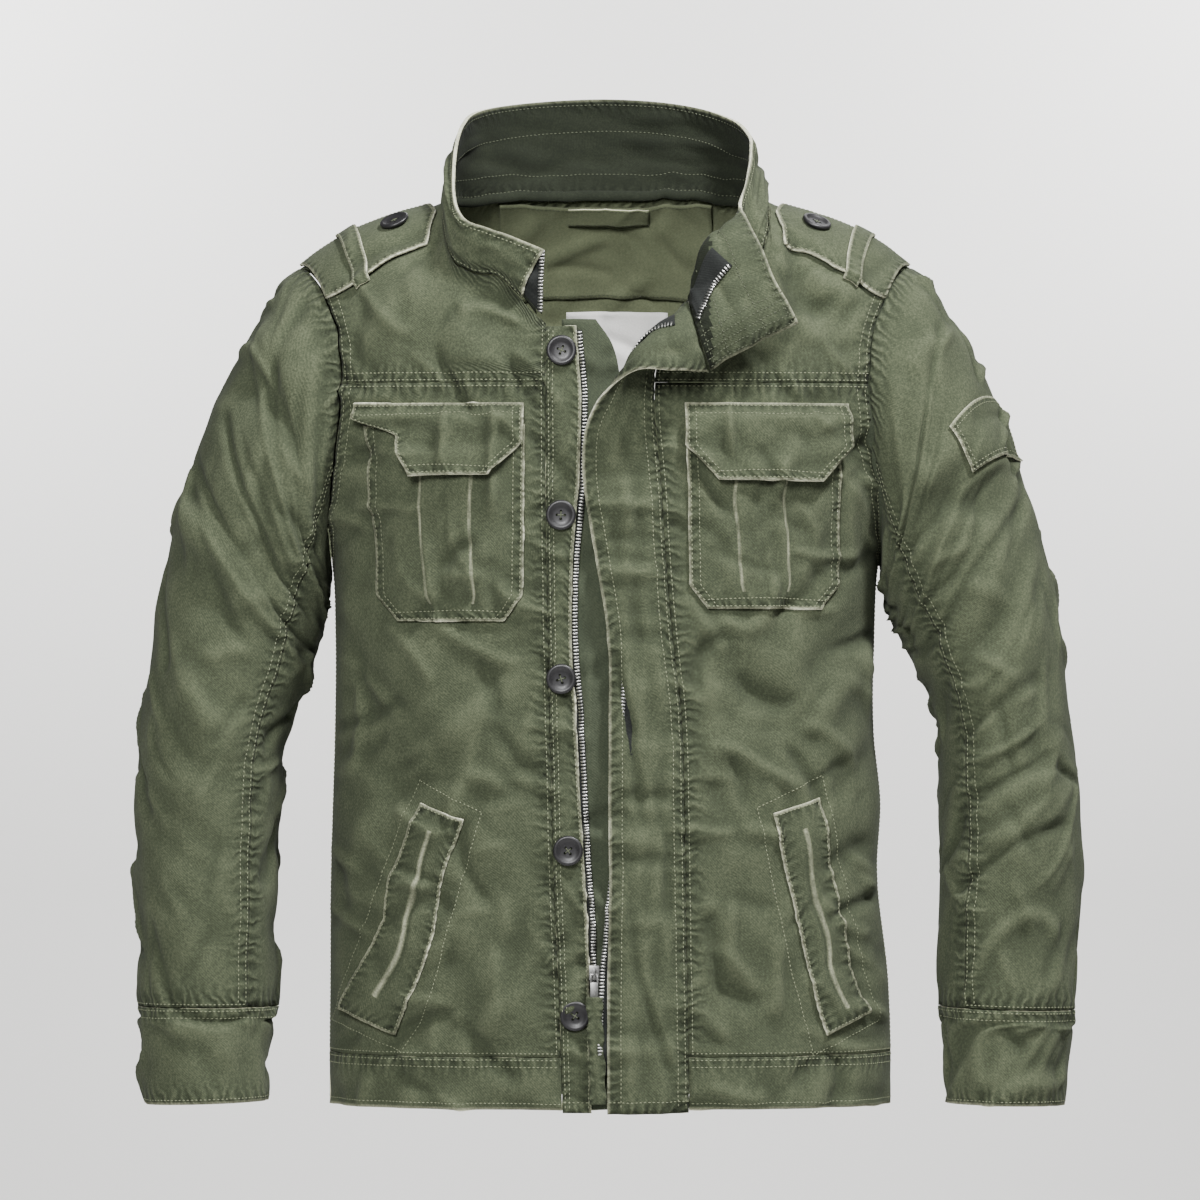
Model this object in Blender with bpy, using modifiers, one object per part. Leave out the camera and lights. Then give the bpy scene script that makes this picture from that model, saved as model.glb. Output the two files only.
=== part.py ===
"""Field jacket in washed olive cotton twill, open at the neck and hollow, as it hangs on a wearer.

Every size is in millimetres until a point is placed. X runs to the wearer's left, Y to the back and Z up.
The origin lies between the shoulders, level with the back of the neck.
"""

import functools
import math

import bmesh
import bpy
import numpy as np
from mathutils import Vector

MM = 0.001

# Walls and the clear widths between them.
CLOTH = 1.8
DOUBLE_CLOTH = 2.2
COLLAR_CLOTH = 2.6
TAPE = 1.2
SEAM_GAP = 0.4
LAY_GAP = 0.6
ARMHOLE_GAP = 0.9
POCKET_GAP = 0.9
WELT_GAP = (0.5, 0.9, 1.9)
LOOP_GAP = 0.8
EPAULETTE_GAP = 1.4
HEM_PROUD = 0.2

# The body: a rounded oval up to the foot of the shoulder cap, then an arch over the shoulders.
OVAL = 2.3
CAP_Z = -130.0
CAP_RISE = 110.0
HEM_SEAM_Z = -661.0
HEM_Z = -701.0
YOKE_SEAM_Z = -146.0
ARMPIT_Z = -285.0
SIDE_FADE = 0.35
SIDE_SEAM_TURN = 0.09
ARMHOLE_SEAM_TURN = 0.05
PANEL_ROWS = (
    HEM_SEAM_Z + SEAM_GAP,
    -622.0,
    -583.0,
    -544.0,
    -505.0,
    -466.0,
    -428.0,
    -390.0,
    -354.0,
    -318.0,
    ARMPIT_Z,
    -273.0,
    -256.0,
    -236.0,
    -213.0,
    -190.0,
    -168.0,
    YOKE_SEAM_Z - SEAM_GAP / 2,
)
YOKE_COLUMNS = (0.0, 0.09, 0.18, 0.28, 0.38, 0.45, 0.50, 0.54, 0.57, 0.60, 0.70, 0.80, 0.90, 1.0)

# Lines down the front.
PLACKET_THICK = 2.2
ZIP_TAPE_WIDE = 13.0
ZIP_BEAD_WIDE = 4.5
ZIP_TOP_Z = -103.0
ZIP_FOOT_Z = -690.0
ZIP_SINK = -(PLACKET_THICK - HEM_PROUD + LAY_GAP)
FLY_ROWS = 30
ZIP_RIGHT_PLACES = (14.0 / FLY_ROWS, 14.0 * 29 / FLY_ROWS)
ZIP_RIGHT_WIDE_SHARE = 0.2
GUARD_TOP_Z = -97.0

# Buttons.
BUTTON_RADIUS = 11.5
BUTTON_THICK = 3.4
BUTTON_RIM = 2.4
BUTTON_DISH = 1.0
BUTTON_STEPS = 16
BUTTON_LIFT = 0.6
FRONT_BUTTON_Z = (-121.7, -247.2, -372.0, -502.8, -629.1)
EPAULETTE_BUTTON_SHARE = 0.74

# Chest pockets, their flaps and the welts of the hand pockets.
POCKET_TOP_Z = -178.0
POCKET_PUFF = 2.2
POCKET_PLEAT = 1.4
POCKET_PLEAT_SHARE = 0.16
POCKET_CORNER = 14.0
POCKET_COLUMNS = (0.0, 0.08, 0.2, 0.33, 0.345, 0.5, 0.655, 0.67, 0.8, 0.92, 1.0)
FLAP_TOP_Z = -161.5
FLAP_RISE = 12.0
FLAP_FLARE = 5.0
FLAP_LOOSE_SHARE = 0.45
FLAP_CURL = 8.0
FLAP_CURL_BACK = 34.0
FLAP_CURL_SHARE = 0.3
POCKET_FOOT_IN = 2.0
POCKET_CORNER_SHARE = 0.13
WELT_RISE = 2.4
WELT_RISE_SHARE = 0.22

# Sleeves and cuffs: places down the sleeve, and seams as turns round it. A place is about SLEEVE_STEP long, and
# a degree of turn about SLEEVE_REACH wide.
CUFF_SEAM_PLACE = 12.0
CUFF_GAP = 0.02
CUFF_PLACE = 14.0
FRONT_SEAM_TURN = 130.0
BACK_SEAM_TURN = 232.0
SLEEVE_SEAM_TURN = 0.35
SLEEVE_STEP = 48.0
SLEEVE_REACH = 1.2
SLEEVE_HEAD_CLEAR = 0.8
SLEEVE_HEAD_SWELL = 2.8
PATCH_GAP = 1.6

# Epaulettes.
EPAULETTE_END_X = 137.0
EPAULETTE_POINT = 7.0
EPAULETTE_LIFT = 1.5
EPAULETTE_FRONT_UP = (40.0, 58.0)
EPAULETTE_BACK_UP = (103.0, 108.0)
EPAULETTE_UNDER = 1.2
EPAULETTE_POINT_START = 0.85
LOOP_COLUMNS = (0.30, 0.375, 0.45)
LOOP_ROWS = (-0.07, 0.0, 0.25, 0.5, 0.75, 1.0, 1.05)

# Inside the neck: the facing, the blank label and the hanger loop.
INSIDE_LAY = -(CLOTH + 1.8)
LABEL_TOP_LAY = -(CLOTH + 0.7)
FACING_HALF = 84.0
FACING_FOOT = 25.0
LABEL_X = (-31.0, 49.0)
LABEL_UP = (-24.0, 20.0)
LOOP_X = (-30.0, 34.0)
LOOP_UP = (55.5, 64.5)
LOOP_BOW = 3.0

# The zip's slider and its pull.
SLIDER_X = -9.0
SLIDER_Z = -596.0
SLIDER_SIZES = (8.0, 3.0, 11.0)
BAIL_HIGH = 4.8
BAIL_WIDE = 1.6
BAIL_REACH = 3.3
BAIL_BAR = 1.2
PULL_AXIS_OFF = 2.3
PULL_AXIS_UP = -1.4
PULL_WIDE = 6.6
PULL_EYE = 1.7
PULL_LONG = 22.0
PULL_THICK = 1.4
PULL_STRIP_WIDE = 12.0
PULL_STRIP_LONG = 82.0
PULL_STRIP_THICK = 1.6
PULL_STRIP_LAP = 5.0
PULL_STRIP_LEAN = 3.0
PULL_STRIP_SWAY = 1.0

TWILL = ("olive_twill", (0.105, 0.125, 0.070), 0.88, 0.0)
TWILL_DARK = ("olive_twill_shaded", (0.075, 0.090, 0.052), 0.9, 0.0)
TAPE_DARK = ("zip_tape", (0.020, 0.022, 0.020), 0.85, 0.0)
LABEL_WHITE = ("label_cloth", (0.78, 0.78, 0.76), 0.8, 0.0)
BUTTON_DARK = ("button_plastic", (0.028, 0.026, 0.030), 0.45, 0.0)
ZIP_METAL = ("zip_metal", (0.32, 0.32, 0.33), 0.35, 1.0)

JACKET = bpy.data.collections.new("field_jacket")
CUTTERS = bpy.data.collections.new("cutters")


class Table:
    """Rows of sizes under named columns. The first column says where; readings between rows are smooth."""

    def __init__(self, columns, rows):
        self.columns = columns.split()
        values = np.array(rows, float)
        values = values[values[:, 0].argsort()]
        self.where = values[:, 0]
        self.values = values
        steps = np.diff(self.where)[:, None]
        rises = np.diff(values, axis=0) / steps
        middle = (steps[:-1] * rises[1:] + steps[1:] * rises[:-1]) / (steps[:-1] + steps[1:])
        self.slopes = np.vstack([rises[:1], middle, rises[-1:]])

    def at(self, where):
        """The sizes at this place, by column name."""
        where = min(max(where, self.where[0]), self.where[-1])
        row = min(int(np.searchsorted(self.where, where, side="right")), len(self.where) - 1) - 1
        step = self.where[row + 1] - self.where[row]
        part = (where - self.where[row]) / step
        start = 2 * part**3 - 3 * part**2 + 1
        leave = part**3 - 2 * part**2 + part
        arrive = part**3 - part**2
        mix = start * self.values[row] + (1 - start) * self.values[row + 1]
        mix = mix + step * (leave * self.slopes[row] + arrive * self.slopes[row + 1])
        return dict(zip(self.columns, mix))


# Half widths and depths of the body at each height. Left and right are as the viewer in front sees them.
BODY = Table(
    "z left right front back",
    [
        (-705, 214, 220, 119, 112),
        (-655, 214, 220.5, 121, 112),
        (-605, 213.5, 218.5, 123, 111),
        (-520, 213, 210, 126, 109),
        (-468, 211.5, 212.5, 127, 108),
        (-416, 210, 207.5, 128, 109),
        (-338, 209.5, 208, 130, 113),
        (-285, 212, 211, 131, 118),
        (-226, 227, 226, 131, 122),
        (-180, 239, 238, 130, 123),
        (-130, 245, 244, 128, 121),
    ],
)

# Height of the shoulder line above each distance from the middle.
SHOULDER = Table(
    "x z",
    [(0, 34), (60, 26), (100, 10), (130, -5), (170, -19), (200, -32), (239, -57), (262, -75)],
)

# The armhole seam: share of the half width at each height up the cloth.
ARMHOLE = Table(
    "up share",
    [
        (-155, 1.0),
        (-145, 0.995),
        (-128, 0.975),
        (-105, 0.940),
        (-70, 0.885),
        (-35, 0.842),
        (0, 0.828),
        (18, 0.840),
        (35, 0.868),
        (65, 0.915),
        (90, 0.950),
        (110, 0.974),
    ],
)

# The top edge of a front yoke, from the front edge along the neck and the shoulder seam to the sleeve.
YOKE_TOP = {
    "left": Table(
        "share x up",
        [
            (0.00, 46, 13),
            (0.10, 58, 18),
            (0.18, 68, 24),
            (0.27, 82, 31),
            (0.38, 105, 37),
            (0.47, 119, 48),
            (0.53, 125, 70),
            (0.60, 126, 110),
            (0.80, 182, 110),
            (1.00, 238, 110),
        ],
    ),
    "right": Table(
        "share x up",
        [
            (0.00, 63, 21),
            (0.10, 74, 26),
            (0.20, 88, 31),
            (0.38, 107, 38),
            (0.47, 119, 48),
            (0.53, 125, 70),
            (0.60, 126, 110),
            (0.80, 182, 110),
            (1.00, 238, 110),
        ],
    ),
}

# The top edge of the back yoke, from the middle along the neck and the shoulder seam to the sleeve.
BACK_TOP = Table(
    "share x up",
    [
        (0.00, 0, 66),
        (0.18, 45, 69),
        (0.34, 86, 77),
        (0.46, 116, 90),
        (0.54, 126, 110),
        (0.77, 182, 110),
        (1.00, 238, 110),
    ],
)

# Soft folds of the body's front: from one point to another, half width across, and height.
BODY_FOLDS = (
    # x0, z0, x1, z1, half_width, height
    (147, -56, 160, -90, 15, -6),
    (158, -90, 186, -95, 14, -5),
    (176, -60, 190, -84, 12, 4),
    (-140, -70, -190, -120, 20, 4),
    (-60, -100, -100, -80, 18, -4),
    (-120, -110, -70, -136, 18, 3),
    (-150, -345, -100, -420, 22, 4),
    (-190, -360, -150, -470, 20, -4),
    (90, -350, 150, -420, 22, -4),
    (130, -350, 190, -430, 20, 4),
    (-110, -560, -70, -640, 20, 3),
    (80, -560, 110, -640, 20, -3),
)

# Soft folds of the body's back, seen from behind with the same X.
BACK_FOLDS = (
    (-150, -180, -60, -250, 24, 4),
    (150, -190, 70, -260, 24, 4),
    (-120, -300, -30, -340, 26, -4),
    (120, -320, 30, -350, 26, -4),
    (-160, -430, -60, -470, 24, 4),
    (150, -450, 50, -500, 24, 3),
    (-110, -560, 20, -600, 24, -3),
)

# Sleeve sections from the shoulder to the cuff's end: outermost and innermost points, middle and half depth.
SLEEVE_COLUMNS = "place outer_x outer_z inner_x inner_z middle_y depth"
SLEEVES = {
    "left": Table(
        SLEEVE_COLUMNS,
        [
            (1, 261.5, -84, 213.6, -298, 0, 89),
            (2, 283, -120, 214.4, -312, 0, 87),
            (3, 305, -164, 216.6, -325, 0, 84),
            (4, 322.5, -211, 219.6, -338, 0, 80),
            (5, 336, -259, 223.8, -352, -1, 77),
            (6, 347, -312, 230, -377, -2, 73),
            (7, 354, -366, 241, -401, -4, 69),
            (8, 361.5, -420, 249.5, -430, -6, 66),
            (9, 364.5, -458, 251.5, -461, -8, 64),
            (10, 364.5, -512, 253.5, -512, -10, 61),
            (11, 361.5, -562, 255, -562, -13, 57),
            (12, 363, -625, 256.5, -625, -16, 53),
            (13, 361, -648, 259, -646, -17, 50),
            (14, 355.5, -701, 261, -698, -19, 48),
        ],
    ),
    "right": Table(
        SLEEVE_COLUMNS,
        [
            (1, 263, -84, 212.8, -298, 0, 89),
            (2, 285, -120, 213.8, -309, 0, 87),
            (3, 304, -164, 217, -320, 0, 84),
            (4, 321, -211, 223, -332, 0, 80),
            (5, 336.5, -259, 231, -346, -1, 77),
            (6, 349.5, -312, 241, -368, -2, 73),
            (7, 355.5, -366, 252.5, -392, -4, 69),
            (8, 362, -420, 257.5, -425, -6, 66),
            (9, 366.5, -458, 257.5, -464, -8, 64),
            (10, 369.5, -512, 259, -512, -10, 61),
            (11, 367, -562, 257, -562, -13, 57),
            (12, 363, -628, 257, -625, -16, 53),
            (13, 360, -650, 260, -648, -17, 50),
            (14, 354, -702, 262, -700, -19, 48),
        ],
    ),
}

# Soft folds of the sleeves: where they start and end along the sleeve and round it, half width, height.
SLEEVE_FOLDS = {
    "left": (
        # place0, turn0, place1, turn1, half_width, height
        (0.9, 95, 2.2, 35, 17, -7),
        (0.5, 75, 1.4, 30, 16, 4),
        (2.5, 80, 3.8, 100, 14, -4),
        (3.2, 120, 4.4, 95, 14, -4),
        (5.2, 25, 5.6, 85, 17, -5),
        (4.6, 20, 4.8, 70, 17, 4),
        (7.0, 60, 8.2, 110, 18, 4),
        (9.3, 40, 10.2, 95, 18, -3),
        (10.6, 30, 11.2, 90, 16, 3),
        (2.0, 300, 3.6, 250, 20, -5),
        (5.0, 330, 6.4, 270, 20, -4),
        (8.0, 320, 9.0, 260, 20, 4),
    ),
    "right": (
        (2.2, 110, 4.2, 45, 17, -6),
        (1.6, 100, 3.4, 40, 16, 4),
        (4.9, 30, 6.2, 100, 18, -7),
        (5.2, 30, 6.9, 100, 17, 4),
        (6.6, 40, 8.4, 70, 16, -4),
        (8.8, 50, 9.8, 100, 18, 3),
        (10.4, 40, 11.2, 90, 18, -3),
        (2.0, 300, 3.6, 250, 20, -5),
        (5.0, 330, 6.4, 270, 20, -4),
        (8.0, 320, 9.0, 260, 20, 4),
    ),
}

# The collar from its left front end round the back to the end that has fallen open on the right.
# bow fills it out along its own face, and the roll carries its middle towards the neck where it has fallen open.
COLLAR = Table(
    "place neck rim_x rim_y rim_z bow roll_x roll_y roll_z",
    [
        (0, -97, -47, -128, -45, 2, 0, 0, 0),
        (1, -88, -69, -127, -36, 3, 0, 0, 0),
        (2, -79, -91, -122, -28, 3, 0, 0, 0),
        (3, -70, -108, -112, -21, 4, 0, 0, 0),
        (4, -63, -116, -94, -8, 4, 0, 0, 0),
        (5, -56, -118, -66, 14, 4, 0, 0, 0),
        (6, -50, -117, -30, 38, 4, 0, 0, 0),
        (7, -41, -112, 8, 58, 4, 0, 0, 0),
        (8, -29, -99, 46, 70, 4, 0, 0, 0),
        (9, -15, -56, 76, 78, 4, 0, 0, 0),
        (10, 0, 4, 86, 81, 4, 0, 0, 0),
        (11, 15, 60, 76, 76, 4, 0, 0, 0),
        (12, 29, 98, 46, 64, 4, 0, 0, 0),
        (13, 41, 112, 8, 50, 4, 0, 0, 0),
        (14, 50, 113, -24, 36, 4, 0, 0, 0),
        (15, 56, 109, -54, 14, 3, 0, 0, 0),
        (16, 63, 104, -84, -8, 0, -3, 0, 2),
        (17, 72, 109, -110, -26, 0, -18, -4, 12),
        (18, 84, 119, -130, -47, 0, -27, -8, 14),
        (19, 100, 128, -138, -68, 0, -11, -3, 4),
        (20, 100, 138, -138, -86, 0, -4, -3, 2),
        (21, 100, 145.5, -134, -101, 0, -2, -3, 1),
    ],
)
COLLAR_TURN_PLACE = 19.0
COLLAR_LIFT = 1.3
COLLAR_OPEN_LIFT = 1.2
COLLAR_ZIP_GAP = 1.2
COLLAR_SLANT_PLACES = 3.0
COLLAR_SLANT = 1.1
COLLAR_PLACES = tuple(step / 2 for step in range(7)) + tuple(3.25 + step / 4 for step in range(14))
COLLAR_PLACES += tuple(7 + step / 2 for step in range(14)) + tuple(13.75 + step / 4 for step in range(16))
COLLAR_PLACES += tuple(18 + step / 2 for step in range(7))

# The line of teeth on the fallen collar's inner face, and how far its tape reaches towards the roll.
COLLAR_ZIP = Table(
    "part place up place_back up_back",
    [
        (0.0, 19.80, 0.05, -0.55, 0.00),
        (0.5, 19.35, 0.30, -0.45, -0.10),
        (1.0, 18.60, 0.74, -0.45, -0.12),
    ],
)

# The fly placket from the hem to its top: its seam, middle and free edge, each with how far it stands off.
FLY = Table(
    "place seam_x seam_z seam_off mid_x mid_z mid_off free_x free_z free_off",
    [
        (0, 63.5, -703, 0, 32, -704, 3.6, 1, -704, 4),
        (1, 62.5, -640, 0, 32, -640, 3.6, 1, -640, 4),
        (2, 61.5, -580, 0, 32, -580, 3.6, 1.5, -580, 4),
        (3, 60.5, -520, 0, 32, -520, 4.2, 2.5, -520, 4),
        (4, 59.5, -460, 0, 31, -460, 4.8, 2, -460, 4),
        (5, 57.5, -400, 0, 30, -400, 4.8, 2, -400, 4),
        (6, 50.5, -340, 0, 25, -340, 4.0, 1, -340, 4),
        (7, 45.5, -280, 0, 18, -280, 3.8, -8, -280, 4),
        (8, 42, -225, 0, 12, -225, 3.8, -17, -225, 4),
        (9, 38.5, -188, 0, 12, -188, 3.8, -17, -188, 5),
        (10, 37, -166, 0, 13, -168, 6, -9, -166, 8),
        (11, 37, -148, 0, 13, -148, 16, 2, -152, 22),
        (12, 39, -126, 0.5, 21, -126, 29, 24, -138, 41),
        (13, 47, -103, 1.5, 38, -112, 30, 50, -138, 36),
        (14, 63, -84, 4, 68, -110, 26, 77, -138, 19),
    ],
)

# The patch on the right sleeve: its near and far edges, from its foot up to its top.
PATCH = Table(
    "part near_place near_turn far_place far_turn",
    [(0, 3.12, 66, 3.87, 8), (1, 1.95, 69, 2.90, 8)],
)

# The button placket's two edges.
PLACKET = Table(
    "z seam_x free_x",
    [
        (-703, -33, -11),
        (-620, -35.5, -12.5),
        (-563, -38, -14),
        (-515, -40, -16.5),
        (-450, -41.5, -20.5),
        (-395, -43, -23.5),
        (-345, -44, -26),
        (-280, -45, -25),
        (-222, -46, -21),
        (-190, -46, -19.5),
        (-152, -46, -19),
        (-118, -46, -22),
        (-103, -46, -23),
    ],
)

# Slanted hand pockets: the welt's two long edges, from its top to its bottom.
WELTS = {
    "left": Table(
        "place near_x near_z far_x far_z",
        [
            (0, -109, -480, -142, -467),
            (1, -126, -530, -156, -502),
            (2, -131.5, -568, -165, -527),
            (3, -144, -605, -172, -561),
            (4, -162, -645.5, -204, -626.5),
        ],
    ),
    "right": Table(
        "place near_x near_z far_x far_z",
        [
            (0, 127, -475, 165.5, -463),
            (1, 138.5, -527, 171.5, -511),
            (2, 151, -581, 180, -555),
            (3, 157, -610, 189.5, -598),
            (4, 168.5, -645.5, 200, -629),
        ],
    ),
}


# Outlines of the chest pockets and their flaps.
POCKETS = {
    "left": {"left": -184.5, "right": -61.5, "bottom": -328.0, "narrow": 12.0},
    "right": {"left": 61.5, "right": 179.0, "bottom": -318.5, "narrow": 2.0},
}
FLAPS = {
    "left": {"left": -191.0, "right": -62.5, "low": -216.0, "corner": 26.0, "curl": True},
    "right": {"left": 60.0, "right": 184.5, "low": -220.0, "corner": 24.0, "curl": False},
}

# The line of the left half of the zip's teeth.
ZIP_LEFT = Table(
    "z tooth_x",
    [
        (-690, -8.5),
        (-590, -10),
        (-563, -10),
        (-515, -13.5),
        (-450, -17),
        (-395, -20),
        (-334, -24),
        (-272, -22),
        (-246, -19.5),
        (-190, -17),
        (-152, -16.5),
        (-122, -19.5),
        (-103, -21),
    ],
)

# The edge of the right half of the zip, as a share of the fly placket's width from its seam.
ZIP_RIGHT = Table(
    "place edge_share",
    [(0, 1.10), (1.6, 1.10), (3, 1.0), (5, 0.85), (8, 0.62), (11, 0.46), (14, 0.38)],
)

# The zip guard's two long edges.
GUARD = Table(
    "z near_x far_x",
    [
        (-701, -24, 16),
        (-590, -26, 16),
        (-450, -32, 14),
        (-334, -38, 10),
        (-246, -36, 10),
        (-160, -34, 12),
        (-137, -34, 10),
        (-115, -34, 4),
        (-97, -34, -8),
    ],
)


def signed_power(value, power):
    return math.copysign(abs(value) ** power, value)


def smooth_step(value):
    value = min(max(value, 0.0), 1.0)
    return value * value * (3 - 2 * value)


def ridge(across, along, start, end, half_width, height):
    """Height of one soft fold at a point, with rounded flanks and tapered ends."""
    line = np.subtract(end, start)
    length = float(np.hypot(*line))
    offset = np.subtract((across, along), start)
    part = float(np.dot(offset, line)) / length**2
    distance = abs(float(line[0] * offset[1] - line[1] * offset[0])) / length
    taper = smooth_step(2.5 * (part + 0.2)) * smooth_step(2.5 * (1.2 - part))
    return height * taper * math.exp(-((distance / half_width) ** 2))


def shoulder_z(x):
    return SHOULDER.at(abs(x))["z"]


@functools.lru_cache(maxsize=None)
def bare_body(turn, up):
    """The body's smooth surface. turn is 0 at the middle front and 90 at the viewer's right side."""
    low = min(up, 0.0)
    row = BODY.at(CAP_Z + low)
    angle = math.radians(turn)
    half = row["right"] if turn > 0 else row["left"]
    depth = row["front"] if abs(turn) < 90 else row["back"]
    x = half * signed_power(math.sin(angle), 2 / OVAL)
    y = -depth * signed_power(math.cos(angle), 2 / OVAL)
    if up <= 0:
        return np.array((x, y, CAP_Z + low))
    lift = math.radians(90 * up / CAP_RISE)
    return np.array((x, y * math.cos(lift), CAP_Z + (shoulder_z(x) - CAP_Z) * math.sin(lift)))


@functools.lru_cache(maxsize=None)
def body_normal(turn, up):
    across = bare_body(turn + 0.8, up) - bare_body(turn - 0.8, up)
    rise = bare_body(turn, up + 1.0) - bare_body(turn, up - 1.0)
    normal = np.cross(across, rise)
    return normal / np.linalg.norm(normal)


def body(turn, up, out=0.0):
    """A point of the body's cloth, with its folds, moved out by so much."""
    point = bare_body(turn, up)
    folds = BODY_FOLDS if abs(turn) < 90 else BACK_FOLDS
    fold = sum(ridge(point[0], point[2], (a, b), (c, d), w, h) for a, b, c, d, w, h in folds)
    facing = abs(math.cos(math.radians(turn)))
    fold *= smooth_step(facing / SIDE_FADE) * smooth_step(1.2 - up / CAP_RISE)
    return point + body_normal(turn, up) * (out + fold)


def turn_at(x, low_z):
    """The turn at which the front's surface reaches this X."""
    row = BODY.at(low_z)
    half = row["right"] if x > 0 else row["left"]
    share = min(abs(x) / half, 1.0)
    return math.copysign(math.degrees(math.asin(share ** (OVAL / 2))), x)


def up_at(x, z):
    if z <= CAP_Z:
        return z - CAP_Z
    share = min((z - CAP_Z) / (shoulder_z(x) - CAP_Z), 1.0)
    return CAP_RISE * math.degrees(math.asin(share)) / 90


def front(x, z, out=0.0):
    """A point of the front at this X and Z, moved out by so much."""
    return body(turn_at(x, min(z, CAP_Z)), up_at(x, z), out)


def edge_turn(side, up):
    """The turn at which the front ends: at the side seam, and above it at the armhole."""
    share = min(ARMHOLE.at(up)["share"], 1.0)
    return side * math.degrees(math.asin(share ** (OVAL / 2)))


@functools.lru_cache(maxsize=None)
def armhole(side, turn):
    """A point of the armhole seam, from the shoulder at 0 down the front to the armpit at 180 and up the back."""
    share = turn / 180 if turn <= 180 else (360 - turn) / 180
    up = CAP_RISE + (ARMPIT_Z - CAP_Z - CAP_RISE) * share
    edge = edge_turn(side, up)
    return body(edge if turn <= 180 else side * 180 - edge, up)


@functools.lru_cache(maxsize=None)
def bare_sleeve(side_name, place, turn):
    """The sleeve's smooth surface. turn is 0 on its outermost line, 90 in front and 180 inside."""
    side = -1 if side_name == "left" else 1
    row = SLEEVES[side_name].at(max(place, 1.0))
    outer = np.array((side * row["outer_x"], row["middle_y"], row["outer_z"]))
    inner = np.array((side * row["inner_x"], row["middle_y"], row["inner_z"]))
    angle = math.radians(turn)
    ring = (outer + inner) / 2 + (outer - inner) / 2 * math.cos(angle)
    ring = ring + np.array((0, -row["depth"] * math.sin(angle), 0))
    if place >= 1:
        return ring
    top = max(math.cos(angle), 0.0)
    seam = armhole(side, turn % 360) + np.array((side * (ARMHOLE_GAP + SLEEVE_HEAD_CLEAR * top), 0, 0))
    swell = SLEEVE_HEAD_SWELL * math.sin(math.pi * place) * top
    return seam + (ring - seam) * place + np.array((side * swell, 0, swell))


def sleeve(side_name, place, turn, out=0.0):
    """A point of a sleeve's cloth, with its folds, moved out by so much."""
    point = bare_sleeve(side_name, place, turn)
    low = max(place - 0.05, 0.0)
    along = bare_sleeve(side_name, low + 0.1, turn) - bare_sleeve(side_name, low, turn)
    around = bare_sleeve(side_name, place, turn + 1) - bare_sleeve(side_name, place, turn - 1)
    normal = np.cross(around, along) * (1 if side_name == "right" else -1)
    normal = normal / np.linalg.norm(normal)
    fold = 0.0
    for place0, turn0, place1, turn1, half_width, height in SLEEVE_FOLDS[side_name]:
        here = (place * SLEEVE_STEP, turn % 360 * SLEEVE_REACH)
        begin = (place0 * SLEEVE_STEP, turn0 * SLEEVE_REACH)
        finish = (place1 * SLEEVE_STEP, turn1 * SLEEVE_REACH)
        fold += ridge(*here, begin, finish, half_width, height)
    fold *= smooth_step(place * 2) * smooth_step((CUFF_SEAM_PLACE - place) * 2)
    return point + normal * (out + fold)


@functools.lru_cache(maxsize=None)
def neck_point(position):
    """A point of the neck seam: 0 at the middle back, 50 at a shoulder seam and 100 at a front edge."""
    side = -1 if position < 0 else 1
    position = abs(position)
    if position <= 50:
        row = BACK_TOP.at(0.54 * position / 50)
        turn = side * (180 - turn_at(row["x"], CAP_Z))
        return body(turn, row["up"])
    share = 0.60 * (100 - position) / 50
    row = YOKE_TOP["left" if side < 0 else "right"].at(share)
    return body(turn_at(side * row["x"], CAP_Z), min(row["up"], CAP_RISE))


@functools.lru_cache(maxsize=None)
def collar_edges(place):
    """The collar's seam and rim at this place. Where it has fallen open its seam is the fly placket's top."""
    row = COLLAR.at(place)
    if place > COLLAR_TURN_PLACE:
        base = fly(FLY.where[-1], (place - COLLAR_TURN_PLACE) / (COLLAR.where[-1] - COLLAR_TURN_PLACE))
    else:
        base = neck_point(row["neck"])
        meet = smooth_step(place - COLLAR_TURN_PLACE + 1)
        base = base + (fly(FLY.where[-1], 0.0) - neck_point(100)) * meet
    rim = np.array((row["rim_x"], row["rim_y"], row["rim_z"]))
    rise = rim - base + 4 * np.array((row["roll_x"], row["roll_y"], row["roll_z"]))
    lift = COLLAR_LIFT + COLLAR_OPEN_LIFT * smooth_step(place - COLLAR_TURN_PLACE + 1)
    return base + rise / np.linalg.norm(rise) * lift, rim


@functools.lru_cache(maxsize=None)
def bare_collar(place, up):
    """The collar's smooth surface: place runs from the left front end round the neck, up from 0 at its seam to 1."""
    base, rim = collar_edges(place)
    before = collar_edges(max(place - 0.1, 0))
    after = collar_edges(min(place + 0.1, COLLAR.where[-1]))
    ahead = (after[0] - before[0]) * (1 - up) + (after[1] - before[1]) * up
    face = np.cross(rim - base, ahead)
    row = COLLAR.at(place)
    swell = face / np.linalg.norm(face) * row["bow"] + np.array((row["roll_x"], row["roll_y"], row["roll_z"]))
    return base + (rim - base) * up + swell * 4 * up * (1 - up)


def collar(place, up, out=0.0):
    """A point of the collar, moved out from its outer face by so much."""
    before, after = max(place - 0.1, 0), min(place + 0.1, COLLAR.where[-1])
    ahead = bare_collar(after, up) - bare_collar(before, up)
    rise = bare_collar(place, up + 0.04) - bare_collar(place, up - 0.04)
    normal = np.cross(rise, ahead)
    return bare_collar(place, up) + normal / np.linalg.norm(normal) * out


def fly_seam_line():
    """X and Z of points along the fly placket's seam."""
    rows = [FLY.at(place) for place in np.linspace(0, FLY.where[-1], 60)]
    return [row["seam_x"] for row in rows], [row["seam_z"] for row in rows]


FLY_SEAM_LINE = fly_seam_line()


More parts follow.
